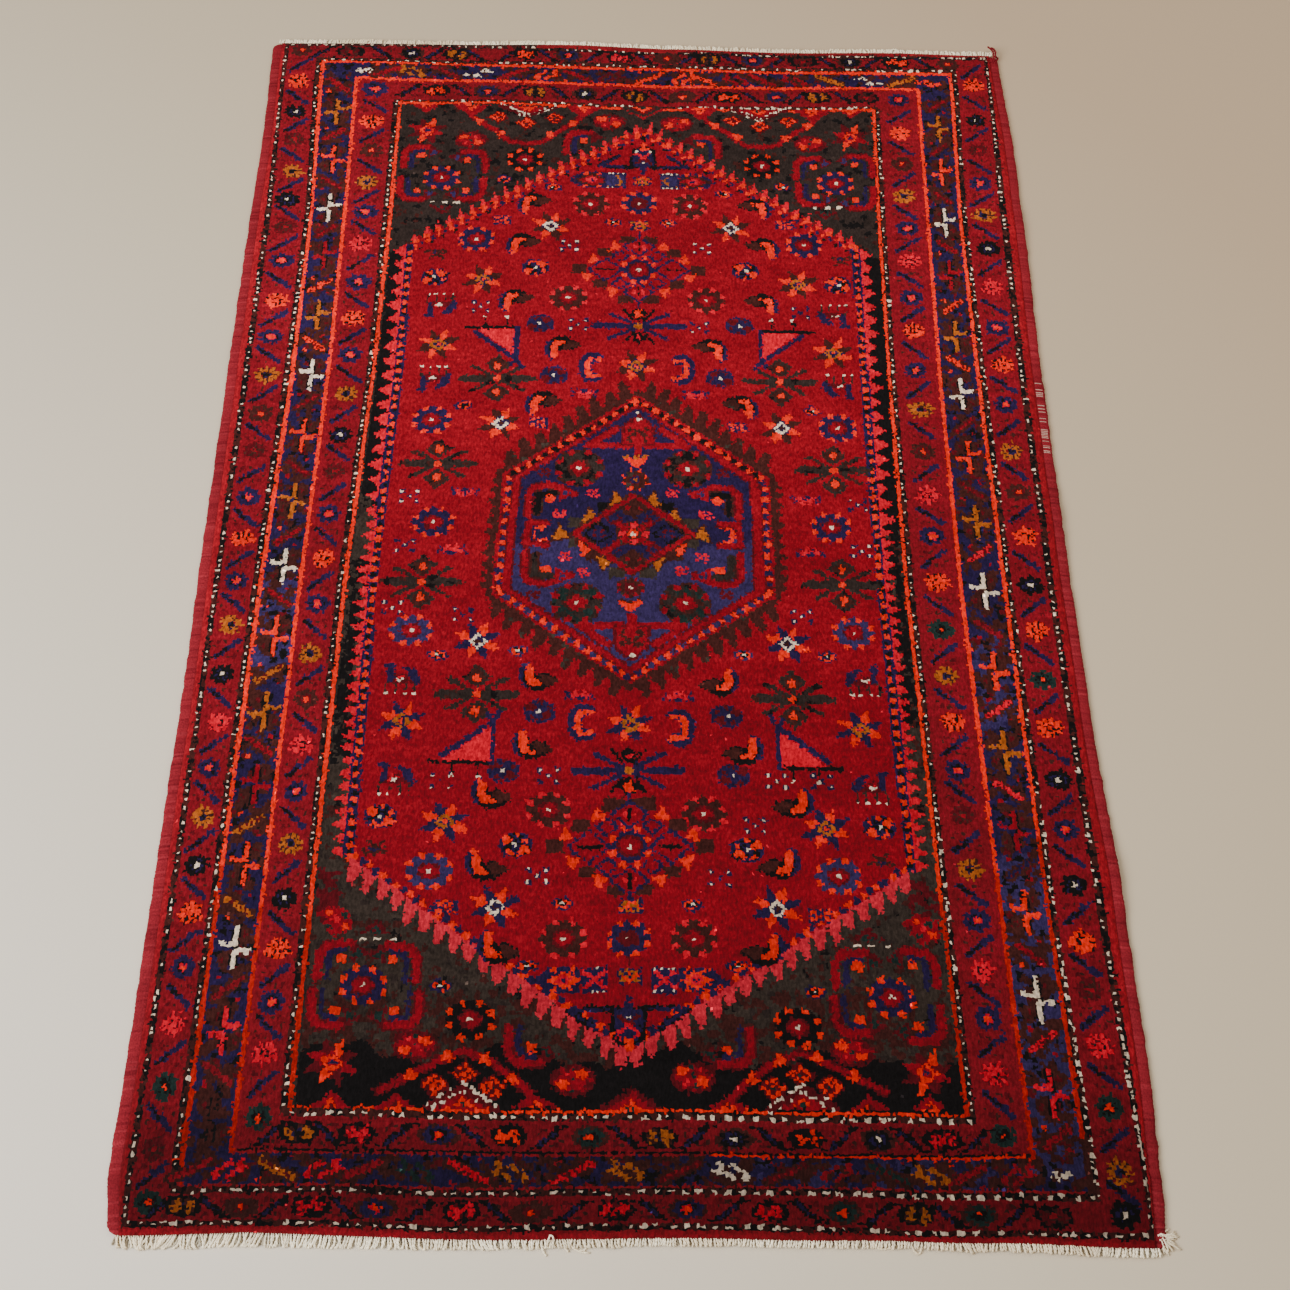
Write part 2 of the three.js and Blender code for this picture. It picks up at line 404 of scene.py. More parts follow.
def border_flower(kind, x, y, wide, tall, ringed=False):
    """Orange, gold and pink flowers have narrow petals. The dark ones have eight broad lobes in a ring.
    Those of the end borders are ringed: they lie in a dark oval, with fewer petals."""
    petals, gaps, heart, eye = FLOWER_YARNS[kind]
    light = kind in LIGHT_KINDS
    count = 10 if light and not ringed else 8
    start = chance.uniform(0, 1)
    if ringed:
        for _ in range(6):
            spot(x + chance.normal(0, 2), y + chance.normal(0, 1), "k" if light else "b", wide, tall * 0.9)
        wide, tall = wide * 0.84, tall * 0.84
    if not light:
        spot(x, y, petals, wide * 0.7, tall * 0.7)
    for n in range(count):
        turn = (n + start) / count * 2 * math.pi
        out_x, out_y = math.cos(turn) * wide, math.sin(turn) * tall
        if light:
            side = turn + math.pi / count
            stroke([(x + math.cos(side) * wide * 0.45, y + math.sin(side) * tall * 0.45),
                    (x + math.cos(side) * wide * 0.85, y + math.sin(side) * tall * 0.85)], 3, gaps)
            reach = chance.uniform(0.82, 1.0) if not ringed else chance.uniform(0.7, 0.9)
            if not ringed or abs(math.sin(turn)) < 0.93:
                root = (x + out_x * 0.52, y + out_y * 0.52)
                tip = (x + out_x * reach, y + out_y * reach)
                stroke([root, tip], 5.2, petals)
        else:
            spot(x + out_x * 0.78, y + out_y * 0.78, petals, wide * 0.3, tall * 0.3)
            spot(x + out_x * 0.5, y + out_y * 0.5, gaps, 2)
    spot(x, y, heart, wide * 0.36, tall * 0.36)
    spot(x, y, eye, 4.6, 3.6)


def slanted_leaf(x, y, half_x, half_y, lean, stem=False):
    """A slanted leaf, with small dark knots in each of the corners that it leaves. In the end borders it
    has a thin stem at both ends, and hardly shows any blue."""
    ends = [(x - half_x, y - lean * half_y), (x + half_x, y + lean * half_y)]
    if stem:
        stroke(ends, LEAF_WIDTH, "k")
        stroke([ends[0], (x + half_x * 0.5, y + lean * half_y * 0.5)], LEAF_WIDTH / 2.4, "n")
        for side in (-1, 1):
            end_y = y + side * lean * half_y * 1.12
            stroke([(x + side * half_x, end_y), (x + side * (half_x + 13), end_y)], 2.6, "k")
    else:
        stroke(ends, LEAF_WIDTH, "n")
        stroke([ends[0], (x, y)], LEAF_WIDTH / 2, "k")
    for side in (-1, 1):
        spot(x + side * half_x * 0.75, y - side * lean * half_y * 0.9, "d", 3.6, 3)
        spot(x + side * half_x * 0.2, y - side * lean * half_y * 0.9, "b", 2.4)
        spot(x + side * half_x * 1.05, y - side * lean * half_y * 0.35, "b", 2)


for where, place, row, lean in FLOWER_BORDERS:
    flowers = list(words(row))
    for n, (step, kind, rest) in enumerate(flowers):
        if kind != ".":
            if where == "side":
                border_flower(kind, place + chance.normal(0, 1), step, 18 + chance.normal(0, 1), 16)
            else:
                border_flower(kind, step, place + chance.normal(0, 1), 21 + chance.normal(0, 1), 14, True)
        if n + 1 < len(flowers):
            halfway = (step + flowers[n + 1][0]) / 2
            turn = lean if n % 2 == 0 else -lean
            if where == "side":
                slanted_leaf(place, halfway, 17, 14, turn)
            else:
                slanted_leaf(halfway, place, 13, 11, turn, True)
print("flowers in the minor borders:", sum(len(row[2].split()) for row in FLOWER_BORDERS))

# %% [markdown]
# The main border is indigo, broken up by dark brown so much that hardly half of it shows blue. Pairs of
# hooks face each other in it, with a slanted bar of small stripes between each two pairs. The hook is
# charted once for the long sides and once for the ends, where it lies flatter.
# It is tied in white, orange, gold, pink or red, with a brown one behind it. After the place and the yarn,
# a > stands for a hook or a bar as charted, a < for its mirror image, and a dot for a small, cramped hook.

# %% Hooks of the main border
HOOK_PAIR = """
.......HH.bb....
......kHHbbbbb..
......kHHkbbbbb.
......kHHkbdbbb.
......kHHkbddbb.
......kHHkbdbbb.
......kHHkbbbbb.
.HH...HHHkbbbb..
.HHHHHHHHkbbb...
..HHHHHHHbb.....
........kk......
........HHHHHHH.
...bbbbHHHHHHHH.
..bbbbkHHH..HH..
.bbbbbkHHk......
.bbdbbkHHk......
.bddbbkHHk......
.bbdbbkHHk......
.bbbbbkHHk......
..bbbbkHH.......
...bbb.HH.......
....bb..H.......
"""
WHITE_END_HOOKS = """
.............HH.....
............HbHH....
...........HH.HHHHH.
.....bb.............
..HH..b.HH..........
.HHHH..HHHH...bb....
.......HH.HH..bb....
"""
SMALL_HOOKS = """
.HH...HH.
..HbHHHHH
HHHH.HH..
.bHH.bbH.
"""
END_HOOKS = """
...bbbb........HH...
..bbbbbb.HH...HHH...
.bbbdbb.HHHHbbHH....
..bbb..HHH..bbHHH...
.....HHHb...bbbHHHH.
....HHbbb..HHHHHHbbb
...HHHbb..HHH..bbbbb
...HHHHb.HHHb.bbdbb.
....HH..bHHb...bbb..
"""
MAIN_HOOKS = (  # where, the place across, and the hooks
    ("side", -528, """887y< 772o> 658w< 548r< 418y< 294w> 175o> 48y> -73w> -195o> -320y< -437r> -558o> -680w>
        -795p< -910b<"""),
    ("side", 525, """978o. 868y> 760o< 642w< 524r< 394y< 273w< 151o< 23y> -100w> -238o> -368y> -495r> -615o>
        -738w> -864p> -970w."""),
    ("end", 985, "-490w. -410y< -292w> -172o> -60d> 72o> 168r< 275r< 406w< 500o."),
    ("end", -968.5, "-500p> -382p> -265g< -152y< -12y< 119w< 243r> 361y< 468r>"),
)
MAIN_BARS = (
    ("side", -528, """950r< 831r> 715d< 603d> 483o> 359o< 240d> 110d< -17r> -128r< -258y> -378r< -498y> -621y<
        -736m> -852m<"""),
    ("side", 525, """925d> 816d> 700d< 588r< 457o> 336o< 212d> 85d< -33p> -165m< -300p> -432p< -552n> -675r<
        -795p> -920r>"""),
    ("end", 985, "-450r> -350m< -230r> -116r< 14o> 108o< 215r< 335y< 465y>"),
    ("end", -968.5, "-545r> -437y< -333r> -205p< -77p> 53d> 186d> 308g< 405r>"),
)


def mottle(left, right, near, far, ground, yarn, count, size):
    """Ties spots of another yarn here and there, only where the ground yarn is."""
    for x, y in zip(chance.uniform(left, right, count), chance.uniform(near, far, count)):
        wide, tall = chance.uniform(0.4, 1, 2) * size
        part, px, py = window((x - wide, x + wide), (y - tall, y + tall), KNOT)
        hit = (np.hypot((px - x) / wide, (py - y) / tall) <= 1) & (part == YARNS.index(ground))
        part[hit] = YARNS.index(yarn)


for left, right, near, far in (
    (-553, -503, -988, 1002), (497, 554, -988, 1002), (-503, 497, 968, 1002), (-503, 497, -988, -949)
):
    count = int((right - left) * (far - near) / 100)
    mottle(left, right, near, far, "n", "b", int(count * 0.42), 9)
    mottle(left, right, near, far, "n", "k", count // 3, 6)
    mottle(left, right, near, far, "b", "d", count // 5, 6)
mottle(497, 554, -965, -540, "n", "u", 600, 14)
mottle(497, 554, -340, -180, "n", "u", 70, 12)
mottle(-553, -503, -270, -90, "n", "u", 160, 12)
mottle(120, 497, -988, -949, "n", "u", 60, 9)
for _, left, right, near, far in GUARDS:
    mottle(left, right, far - 9, far, "k", "b", 420, 5)
    mottle(left, right, far - 9, far, "k", "m", 230, 4)
    mottle(left, right, near, near + 9, "k", "b", 300, 5)
    mottle(left, left + 9, near, far, "k", "b", 420, 5)
    mottle(right - 9, right, near, far, "k", "b", 420, 5)


def striped_bar(x, y, half_x, half_y, yarn):
    """A slanted bar of one yarn in a brown edge, crossed by dark stripes, with a bead at both sides."""
    ends = np.array([(x - half_x, y - half_y), (x + half_x, y + half_y)])
    stroke(ends, 15, "b")
    stroke(ends, 8, yarn)
    for share in np.linspace(0.06, 0.94, 6):
        px, py = ends[0] + (ends[1] - ends[0]) * share
        spot(px + chance.normal(0, 1), py, "d" if yarn != "d" else "r", 2.2)
    spot(x - half_x * 0.9, y + half_y * 1.2, "o" if yarn in "oyr" else "r", 3.4, 2.8)
    spot(x + half_x * 0.8, y - half_y * 1.4, "r", 3, 2.4)


for where, place, row in MAIN_BARS:
    for step, yarn, way in words(row):
        slant = 1 if way == ">" else -1
        if where == "side":
            striped_bar(place, step, 15, slant * 12, yarn)
        else:
            striped_bar(step, place, 22, slant * 11, yarn)
for where, place, row in MAIN_HOOKS:
    for step, yarn, way in words(row):
        x, y = (place, step) if where == "side" else (step, place)
        motif = HOOK_PAIR if where == "side" else END_HOOKS
        if where == "end" and yarn == "w" and place > 0:
            motif = WHITE_END_HOOKS
        if way == ".":
            motif = SMALL_HOOKS
        stamp(motif, x, y, "x" if way == "<" else "", {"H": yarn})
print("hook pairs in the main border:", sum(len(row[2].split()) for row in MAIN_HOOKS))

# %% [markdown]
# The field is a long crimson hexagon. A row of teeth stands outside its edge. Along the slanted sides
# chains of orange and dark knots run inside the edge, and along the long sides they lie on an indigo band.
# The corners left over are charcoal. Near the far end the charcoal is even, and near the other end it is
# worn brown, with a strip of fresh black along the border.

# %% The hexagon, its teeth and its chain
HEXAGON = ((12, 848), (-378, 575), (-394, -545), (-11, -818), (376, -560), (369, 580))
top, far_left, near_left, bottom, near_right, far_right = [on_chart(x, y) for x, y in HEXAGON]


def ground(left, right, near, far, yarn, wave=0.0):
    """A block of ground. With a wave, its far edge is uneven, as where a new lot of yarn begins."""
    for x in across[(across > left) & (across < right)]:
        edge = far + wave * (math.sin(x * 0.03) + 0.5 * math.sin(x * 0.11 + 2))
        block(x - 1, x + 1, near, edge, yarn)


ground(-423.5, 408.5, -890, -330, "q", 12)
ground(-423.5, -380, -890, 20, "q", 6)
ground(-423.5, -380, 40, 560, "k", 6)
ground(-423.5, 408.5, -890, -824, "k", 12)
ground(380, 408.5, 10, 560, "k")
ground(380, 408.5, -330, 10, "q")
mottle(-423, -380, -400, -60, "q", "k", 420, 6)
mottle(380, 408, -330, 10, "q", "k", 300, 6)
mottle(380, 408, -330, 10, "q", "b", 120, 6)
mottle(-423, -380, 20, 60, "k", "q", 30, 6)


def along_line(start, end, pitch):
    """Steps along a line, and the directions along it and to its right."""
    length = math.dist(start, end)
    ahead = ((end[0] - start[0]) / length, (end[1] - start[1]) / length)
    beside = (ahead[1], -ahead[0])
    count = round(length / pitch)
    steps = [(n + 0.5) * length / count for n in range(count)]
    return [(start[0] + ahead[0] * s, start[1] + ahead[1] * s) for s in steps], ahead, beside


def off_line(step, ahead, beside, s, h):
    """The place s further along a line than a step, and h to the line's right."""
    return step[0] + ahead[0] * s + beside[0] * h, step[1] + ahead[1] * s + beside[1] * h


def teeth(line, pitch, height, yarn, offset=0.0, base=0.96, lean=0.0, blunt=0.0):
    """A row of teeth along a line, pointing to its right. lean and blunt are shares of the pitch."""
    steps, ahead, beside = along_line(*line, pitch)
    for step in steps:
        tall = offset + height * chance.uniform(0.85, 1.12)
        foot = pitch * base / 2
        top = pitch * blunt / 2
        middle = pitch * lean
        corners = ((-foot, offset), (foot, offset), (middle + top, tall), (middle - top, tall))
        patch([off_line(step, ahead, beside, s, h) for s, h in corners], yarn)


def chain(line, pitch, beads, size=4.4, offset=0.0, slip=0.8, from_start=0.0):
    """A row of beads along a line, as far to its right as offset says."""
    steps, ahead, beside = along_line(*line, pitch)
    for n, step in enumerate(steps):
        ahead_by = from_start * pitch + chance.normal(0, slip)
        x, y = off_line(step, ahead, beside, ahead_by, offset + chance.normal(0, slip))
        spot(x, y, beads[n % len(beads)], size * chance.uniform(0.85, 1.15))


patch((top, far_left, near_left, bottom, near_right, far_right), "r")
middle_left = ((far_left[0] + near_left[0]) / 2, 15)
middle_right = ((far_right[0] + near_right[0]) / 2, 15)
for line, pitch, height in (
    ((far_left, middle_left), 29, 21),
    ((middle_right, far_right), 29, 21),
    ((middle_left, near_left), 20, 18),
    ((near_right, middle_right), 20, 18),
):
    teeth(line, pitch, height, "p", offset=7, base=1.0)
    _, ahead, beside = along_line(*line, pitch)
    patch([off_line(end, ahead, beside, 0, h) for end, h in zip(line + line[::-1], (-7, -7, 7, 7))], "n")
    chain(line, 18, "k", 4)
    chain(line, 18, "o", 4.8, slip=0.5, from_start=0.5)
for line, lean in (((top, far_left), -0.45), ((far_right, top), 0.45)):
    teeth(line, 22.5, 9, "r", offset=0, lean=lean, blunt=0.4)
    teeth(line, 22.5, 19, "p", offset=3, base=0.62, lean=lean)
    chain(line, 22.5, "o", 5.2, offset=1)
    chain(line, 11.2, "no", 3.8, offset=-8)
    chain(line, 22.5, "k", 3.4, offset=-15)
for line, lean in (((near_left, bottom), 0.5), ((bottom, near_right), -0.5)):
    teeth(line, 24, 27, "s", offset=-3, base=1.04, lean=lean, blunt=0.38)
    chain(line, 12, "on", 5.2, offset=-8)
print("hexagon:", [tuple(round(v) for v in corner) for corner in (top, far_left, near_left, bottom)])

# %% [markdown]
# The flowers and stars of the field are drawn by rule, because a weaver counts them out from the middle:
# a rosette is eight petals around a ring and a heart, and a star is eight pointed leaves around a small
# diamond, with every other leaf in a second yarn. A rule keeps each of them even at any place.

# %% Rosettes and stars
ROSETTE_HALF = 31.0
STAR_HALF = 36.0


def diamond(x, y, half_width, half_height, yarn):
    """Fills a diamond."""
    patch([(x - half_width, y), (x, y + half_height), (x + half_width, y), (x, y - half_height)], yarn)


def polar(x, y, half_width, half_height):
    """The chart around a place, with each knot's distance and direction from it."""
    part, px, py = window((x - half_width, x + half_width), (y - half_height, y + half_height), KNOT)
    radius = np.hypot((px - x) / half_width, (py - y) / half_height)
    return part, radius, np.arctan2(py - y, px - x), px - x, py - y


def rosette(place, petals, tips, heart="r", eye="w", half=ROSETTE_HALF, squash=0.86, edge="d"):
    """Eight petals in a ring, a bead of another yarn between each two, and a heart with an eye."""
    x, y = on_chart(*place)
    for n in range(8):
        turn = math.radians(45 * n)
        petal_x = x + math.cos(turn) * half * 0.74
        petal_y = y + math.sin(turn) * half * squash * 0.74
        spot(petal_x, petal_y, petals, half * 0.27, half * 0.24)
    spot(x, y, petals, half * 0.74, half * squash * 0.74)
    for n in range(8):
        turn = math.radians(22.5 + 45 * n)
        spot(x + math.cos(turn) * half * 0.92, y + math.sin(turn) * half * squash * 0.92, tips, half * 0.15)
    spot(x, y, edge, half * 0.5, half * squash * 0.5)
    diamond(x, y, half * 0.5, half * squash * 0.46, heart)
    block(x - half * 0.3, x + half * 0.3, y - half * 0.22, y + half * 0.22, heart)
    spot(x, y, eye, 3.6, 3)


def star(place, warm, dark, middle="n", eye="o", half=STAR_HALF, ring="w"):
    """Eight pointed leaves, every other one in the second yarn, round a diamond with an eye."""
    x, y = on_chart(*place)
    block(x - 10, x + 10, y - 9, y + 9, middle)
    for n in range(8):
        turn = math.radians(22.5 + 45 * n)
        reach = half * (1.0 if n % 2 else 1.05)
        tip = (x + math.cos(turn) * reach, y + math.sin(turn) * reach * 0.94)
        left = (x + math.cos(turn + 0.42) * reach * 0.52, y + math.sin(turn + 0.42) * reach * 0.5)
        right = (x + math.cos(turn - 0.42) * reach * 0.52, y + math.sin(turn - 0.42) * reach * 0.5)
        yarn = warm[(n // 2) % len(warm)] if n % 2 else dark
        patch([(x, y), left, tip, right], yarn)
    for size, yarn in ((17, middle), (14.5, ring), (8, middle), (4.5, eye)):
        patch([(x - size, y), (x, y + size * 0.92), (x + size, y), (x, y - size * 0.92)], yarn)


DARK_ROSETTES = (
    ((-77, 673), "b", "p"), ((91, 671), "b", "p"), ((-112, 463), "b", "p"), ((115, 461), "b", "p"),
    ((-123, -469), "b", "p"), ((93, -474), "b", "p"), ((-99, -660), "b", "p"), ((76, -658), "b", "p"),
)
ORANGE_TIPPED = (
    ((-268, 590), "n", "o"), ((282, 586), "n", "o"), ((-322, 208), "n", "o"), ((317, 201), "n", "o"),
    ((-309, 13), "n", "o"), ((297, 11), "n", "o"), ((-331, -180), "u", "o"), ((319, -177), "u", "o"),
    ((-283, -563), "u", "o"), ((275, -567), "u", "o"),
)
ON_CHARCOAL = (
    ((-192, 775), "k", "o"), ((217, 768), "k", "o"), ((-218, -773), "k", "o"), ((210, -782), "k", "o"),
    ((-334, 729), "n", "o"), ((343, 729), "n", "o"), ((-361, -727), "n", "o"), ((336, -740), "n", "o"),
)
for place, petals, tips in DARK_ROSETTES + ORANGE_TIPPED + ON_CHARCOAL:
    rosette(place, petals, tips)
WHITE_STARS = (
    (-144, 622), (160, 621), (-214, 203), (228, 199), (-233, -197), (222, -197), (-192, -615), (189, -615),
)
GOLD_STARS = (
    (-253, 500), (267, 498), (-320, 361), (319, 353), (0, 321), (-335, -331), (319, -338), (-266, -489),
    (262, -495), (-10, -333),
)
CORNER_STARS = ((-364, 841), (375, 840), (-394, -831), (375, -842))
for place in WHITE_STARS:
    star(place, "o", "b" if place[1] > 0 else "n", "n", "b")
for place in GOLD_STARS:
    star(place, "o", "b" if place[1] > 0 else "n", "n", "o", ring="y")
for place in CORNER_STARS:
    star(place, "or", "d", "r", "n", ring="o")
print("rosettes:", len(DARK_ROSETTES + ORANGE_TIPPED + ON_CHARCOAL))
print("stars:", len(WHITE_STARS + GOLD_STARS + CORNER_STARS))

# %% [markdown]
# Smaller motifs are charted knot by knot, as on a weaver's own paper: a hooked leaf, a hook like a
# letter C, a pod, an animal with a comb on its back, and a few more. Each is charted for the far left of
# the field, and mirrored for the other three quarters.

# %% Charted motifs
LEAF_HOOK = """
.......kkkkkk........
.....kkkkkkkkkk......
....nkkkkkkkkkkkk....
...nnkooooookbbbbk...
..nnkoooooookbbbbbbk.
..nnkoooookkbbbbbbbbb
.nnkoooookkbbbbbbbbb.
.nnkooookkkbbbbbbbk..
.nnkooookkkbbbbbk....
.nnkooook..kkkk......
.nnnooook............
.nnnoooo.............
..nnoooo.............
..nnooo..............
...nooo..............
....nn...............
"""
C_HOOK = """
....nnnnnnn...
...nnnnnnnnn..
..nnnnnnnnnnn.
.nnnnooooooon.
.nnnoooooooo..
nnnnooonnooo..
nnnooonnnnn...
nnnooon.......
nnnooon.......
nnnooon.......
nnnooon.......
nnnooon.......
nnnooon.......
nnnoooon......
nnnnooonnn....
.nnnoooooooo..
.nnnnooooooon.
..nnnnnnnnnnn.
...nnnnnnnnn..
....nnnnnn....
"""
ANIMAL = """
.ww..ww...ww..ww...
.c....c....c...c...
.c....c....c...c...
.c....c....c...c...
.c....c....c...c...
.c....c....c...cn..
..cddddddddddddnnn.
..nnddpwwdddddnnnn.
..nnndwwwwdddnnnnn.
..nnnddpdpdd.nnnnn.
..nnnn.ddd..nnnnn..
..nnn.......nnnnn..
..nnn......nnnnn...
..nnn.....nnnnn....
..nnn....nnnn......
.nnnnn.............
nnnnn..............
"""
POD = """
....nnnknnn....
..nnkoonoookk..
.nnooonnooooon.
.nkkonnknoooook
nnkkknnnnooookn
nnnkkkwwnnookkn
nnookkwwkkknnnn
noooooknnnkoonn
nooooonkkknoonn
.ooookknnknnnk.
..ookknookknn..
....nnkoonn....
"""
CRAB = """
n..n..nnn..n..n
nn.ppnnnnnpp.nn
.nnppppnpppppn.
..npp.pppp.pn..
.n..pp.n.pp..n.
.....pp.pp.....
"""
EYE = """
....nnn...
..nnooonn.
.nooknnkon
nnokwwkkon
.nookkoonn
..nnnonn..
"""
X_MARK = """
.bb.bbbb.bb..
bb.bbnnbb.bb.
..bbnn.nnbb..
.....bbb.....
....bbbbb....
...bb...bb...
..bb.....bb..
"""
SMALL_FLOWER = """
.nn.nonn.nn
nooonnnooon
.noonrnoon.
nnnnrorrnnn
.noonrnoon.
nooonnnooon
.nn.nonn.nn
"""
PETALS = """
.pp.pp.
pp.p.pp
..ppp..
pp.p.pp
.pp.pp.
"""


def stamp_all(motif, places, flips=("", "x", "y", "xy"), swap=None):
    """Stamps a motif at places on the rug. In which quarter it lies says how it is mirrored."""
    for x, y in places:
        flip = flips[(1 if x > 0 else 0) + (2 if y < 0 else 0)]
        stamp(motif, *on_chart(x, y), flip, swap)


LEAF_HOOKS = (
    (-175, 673), (202, 666), (-190, 578), (212, 575), (-199, 455), (206, 453), (-121, 357), (121, 355),
    (-149, 244), (165, 240), (-142, -256), (119, -260), (-147, -366), (152, -373), (-203, -446),
    (217, -456), (-205, -552), (195, -547), (-184, -673), (169, -673),
)
stamp_all(LEAF_HOOK, LEAF_HOOKS)
stamp_all(C_HOOK, ((-71, 318), (74, 314), (-79, -331), (61, -338)))
ANIMALS = (
    (-320, 442), (321, 430), (-322, 292), (321, 284), (-337, -262), (327, -258), (-337, -424), (327, -430),
)
stamp_all(ANIMAL, ANIMALS)
PODS = (
    (-166, 528), (182, 526), (-333, 505), (336, 500), (-355, -482), (338, -493), (-166, -524), (152, -528),
)
stamp_all(POD, PODS)
DARK_POD = {"o": "d", "k": "n"}
stamp_all(POD, ((-157, 409), (167, 407), (-131, 299), (132, 299)), swap=DARK_POD)
stamp_all(POD, ((-140, -314), (130, -318), (-188, -410), (137, -414)), swap=DARK_POD)
CRABS = ((-84, 264), (95, 264), (-82, -286), (58, -286), (-264, 67), (262, 61), (-279, -37), (264, -34))
stamp_all(CRAB, CRABS)
EYES = (
    (-142, 710), (150, 703), (-40, 633), (54, 632), (-274, 240), (280, 236), (-292, -223), (280, -221),
    (-175, -214), (156, -219), (-101, -610), (76, -612), (-147, -701), (134, -699), (-227, 727),
    (251, 718), (-259, -727), (236, -734),
)
stamp_all(EYE, EYES)
stamp_all(X_MARK, ((-333, 554), (342, 552), (-357, -528), (334, -543)))
stamp_all(SMALL_FLOWER, ((-228, 634), (251, 630), (-155, 205), (158, 201), (-257, -615), (247, -625)))
stamp_all(SMALL_FLOWER, ((6, 625), (-10, -614), (10, 727), (-11, -712)), swap={"o": "y"})

CLUSTERS = (
    (-255, 442), (269, 437), (-95, 407), (102, 403), (-112, 578), (110, 575), (-348, 61), (340, 54),
    (-350, -30), (340, -32), (-361, -141), (-257, -151), (245, -149), (-125, -416), (197, -422),
    (260, -422), (-274, -426), (163, -491), (-136, -569), (113, -571),
)
for x, y in CLUSTERS:
    cx, cy = on_chart(x, y)
    for dx, dy in ((-12, 9), (12, 9), (0, 0), (-12, -9), (12, -9)):
        spot(cx + dx, cy + dy, "n", 4)
        spot(cx + dx, cy + dy, "w", 1.9, 2.4)
print("clusters of five white dots:", len(CLUSTERS))

# %% [markdown]
# Branches with buds, the long-legged motifs in the middle and the birds are built from strokes. A bird is
# a pink triangle in an indigo outline that stands on two thin legs, and its point is its tail.

# %% Branches, long-legged motifs and birds
def branch(place, yarn="c", reach=58):
    """Two arms with short twigs, two dark buds, and an orange bead in each bud and in the middle."""
    x, y = on_chart(*place)
    for side in (-1, 1):
        stroke([(x, y), (x + side * reach, y)], 9, yarn)
        stroke([(x + side * 14, y), (x + side * (reach - 8), y)], 14, yarn)
        for up in (-1, 1):
            stroke([(x + side * 4, y + up * 3), (x + side * 36, y + up * 22)], 7, yarn)
            stroke([(x + side * 30, y + up * 20), (x + side * 41, y + up * 24)], 7, yarn)
    for up in (-1, 1):
        diamond(x, y + up * 29, 22, 20, yarn)
        diamond(x, y + up * 29, 16, 14, "b")
        spot(x, y + up * 27, "o", 6, 7)
    spot(x, y, "o", 6)


BRANCHES = (
    (-222, 292), (230, 292), (-308, 123), (307, 119), (-321, -95), (308, -93), (-231, -286), (225, -290),
)
for place in BRANCHES:
    branch(place)


def long_legs(place, up):
    """Two long bars with legs that spread from them, between a large and a small dark diamond."""
    x, y = on_chart(*place)
    for side in (-1, 1):
        stroke([(x, y), (x + side * 76, y)], 9, "n")
        stroke([(x + side * 30, y), (x + side * 74, y)], 12, "n")
        for way in (-1, 1):
            stroke([(x + side * 6, y + way * 4), (x + side * 48, y + way * 26)], 7, "n")
            stroke([(x + side * 8, y + way * 12), (x + side * 24, y + way * 34)], 5, "k")
    diamond(x, y + up * 26, 15, 16, "k")
    diamond(x, y - up * 24, 13, 14, "k")
    spot(x, y + up * 24, "o", 5)
    spot(x, y, "y", 6)
    spot(x, y - up * 22, "p", 4)


long_legs((4, 404), 1)
long_legs((-12, -407), -1)


def bird(place, flip):
    """A pink triangle in an outline, on two thin legs with white feet."""
    x, y = on_chart(*place)
    outline = turned(x, y, flip, [(-50, 31), (36, 31), (36, -34), (46, -50), (28, -46), (-33, 22)])
    stroke([outline[0], outline[1]], 6, "k")
    stroke([outline[1], outline[2], outline[3]], 8, "n")
    stroke([outline[2], outline[4]], 7, "n")
    stroke([outline[5], outline[2]], 8, "n")
    patch(turned(x, y, flip, [(-29, 28), (33, 28), (33, -26)]), "p")
    for leg in (-18, 18):
        stroke(turned(x, y, flip, [(leg, 32), (leg, 52)]), 4, "k")
        end = turned(x, y, flip, [(leg, 54)])[0]
        spot(*end, "w", 3)


BIRDS = (((-229, 366), ""), ((237, 366), "x"), ((-242, -364), "y"), ((238, -370), "xy"))
for place, flip in BIRDS:
    bird(place, flip)
print("branches:", len(BRANCHES), "birds:", len(BIRDS))

# %% [markdown]
# Above and below the medallion stands a latticed diamond: four large cells and four small ones around a
# round heart, with brown steps and orange darts at its corners. One half of it is listed, and the other
# half is its mirror image.

# %% Latticed diamonds
def path(*points):
    """Places on the rug as places on the chart."""
    return [on_chart(x, y) for x, y in points]


def dart(x, y, side, up, size=11, yarn="o"):
    """A small triangle with its square corner towards the middle of the motif."""
    corners = ((-size, -size * 0.6), (size, -size), (size * 0.2, size))
    patch([(x + side * px, y + up * py) for px, py in corners], yarn)


LATTICE_STEPS = ((101, 0, 12, 11), (58, 38, 12, 8), (65, -31, 12, 9), (19, 66, 12, 7), (21, -64, 14, 10))


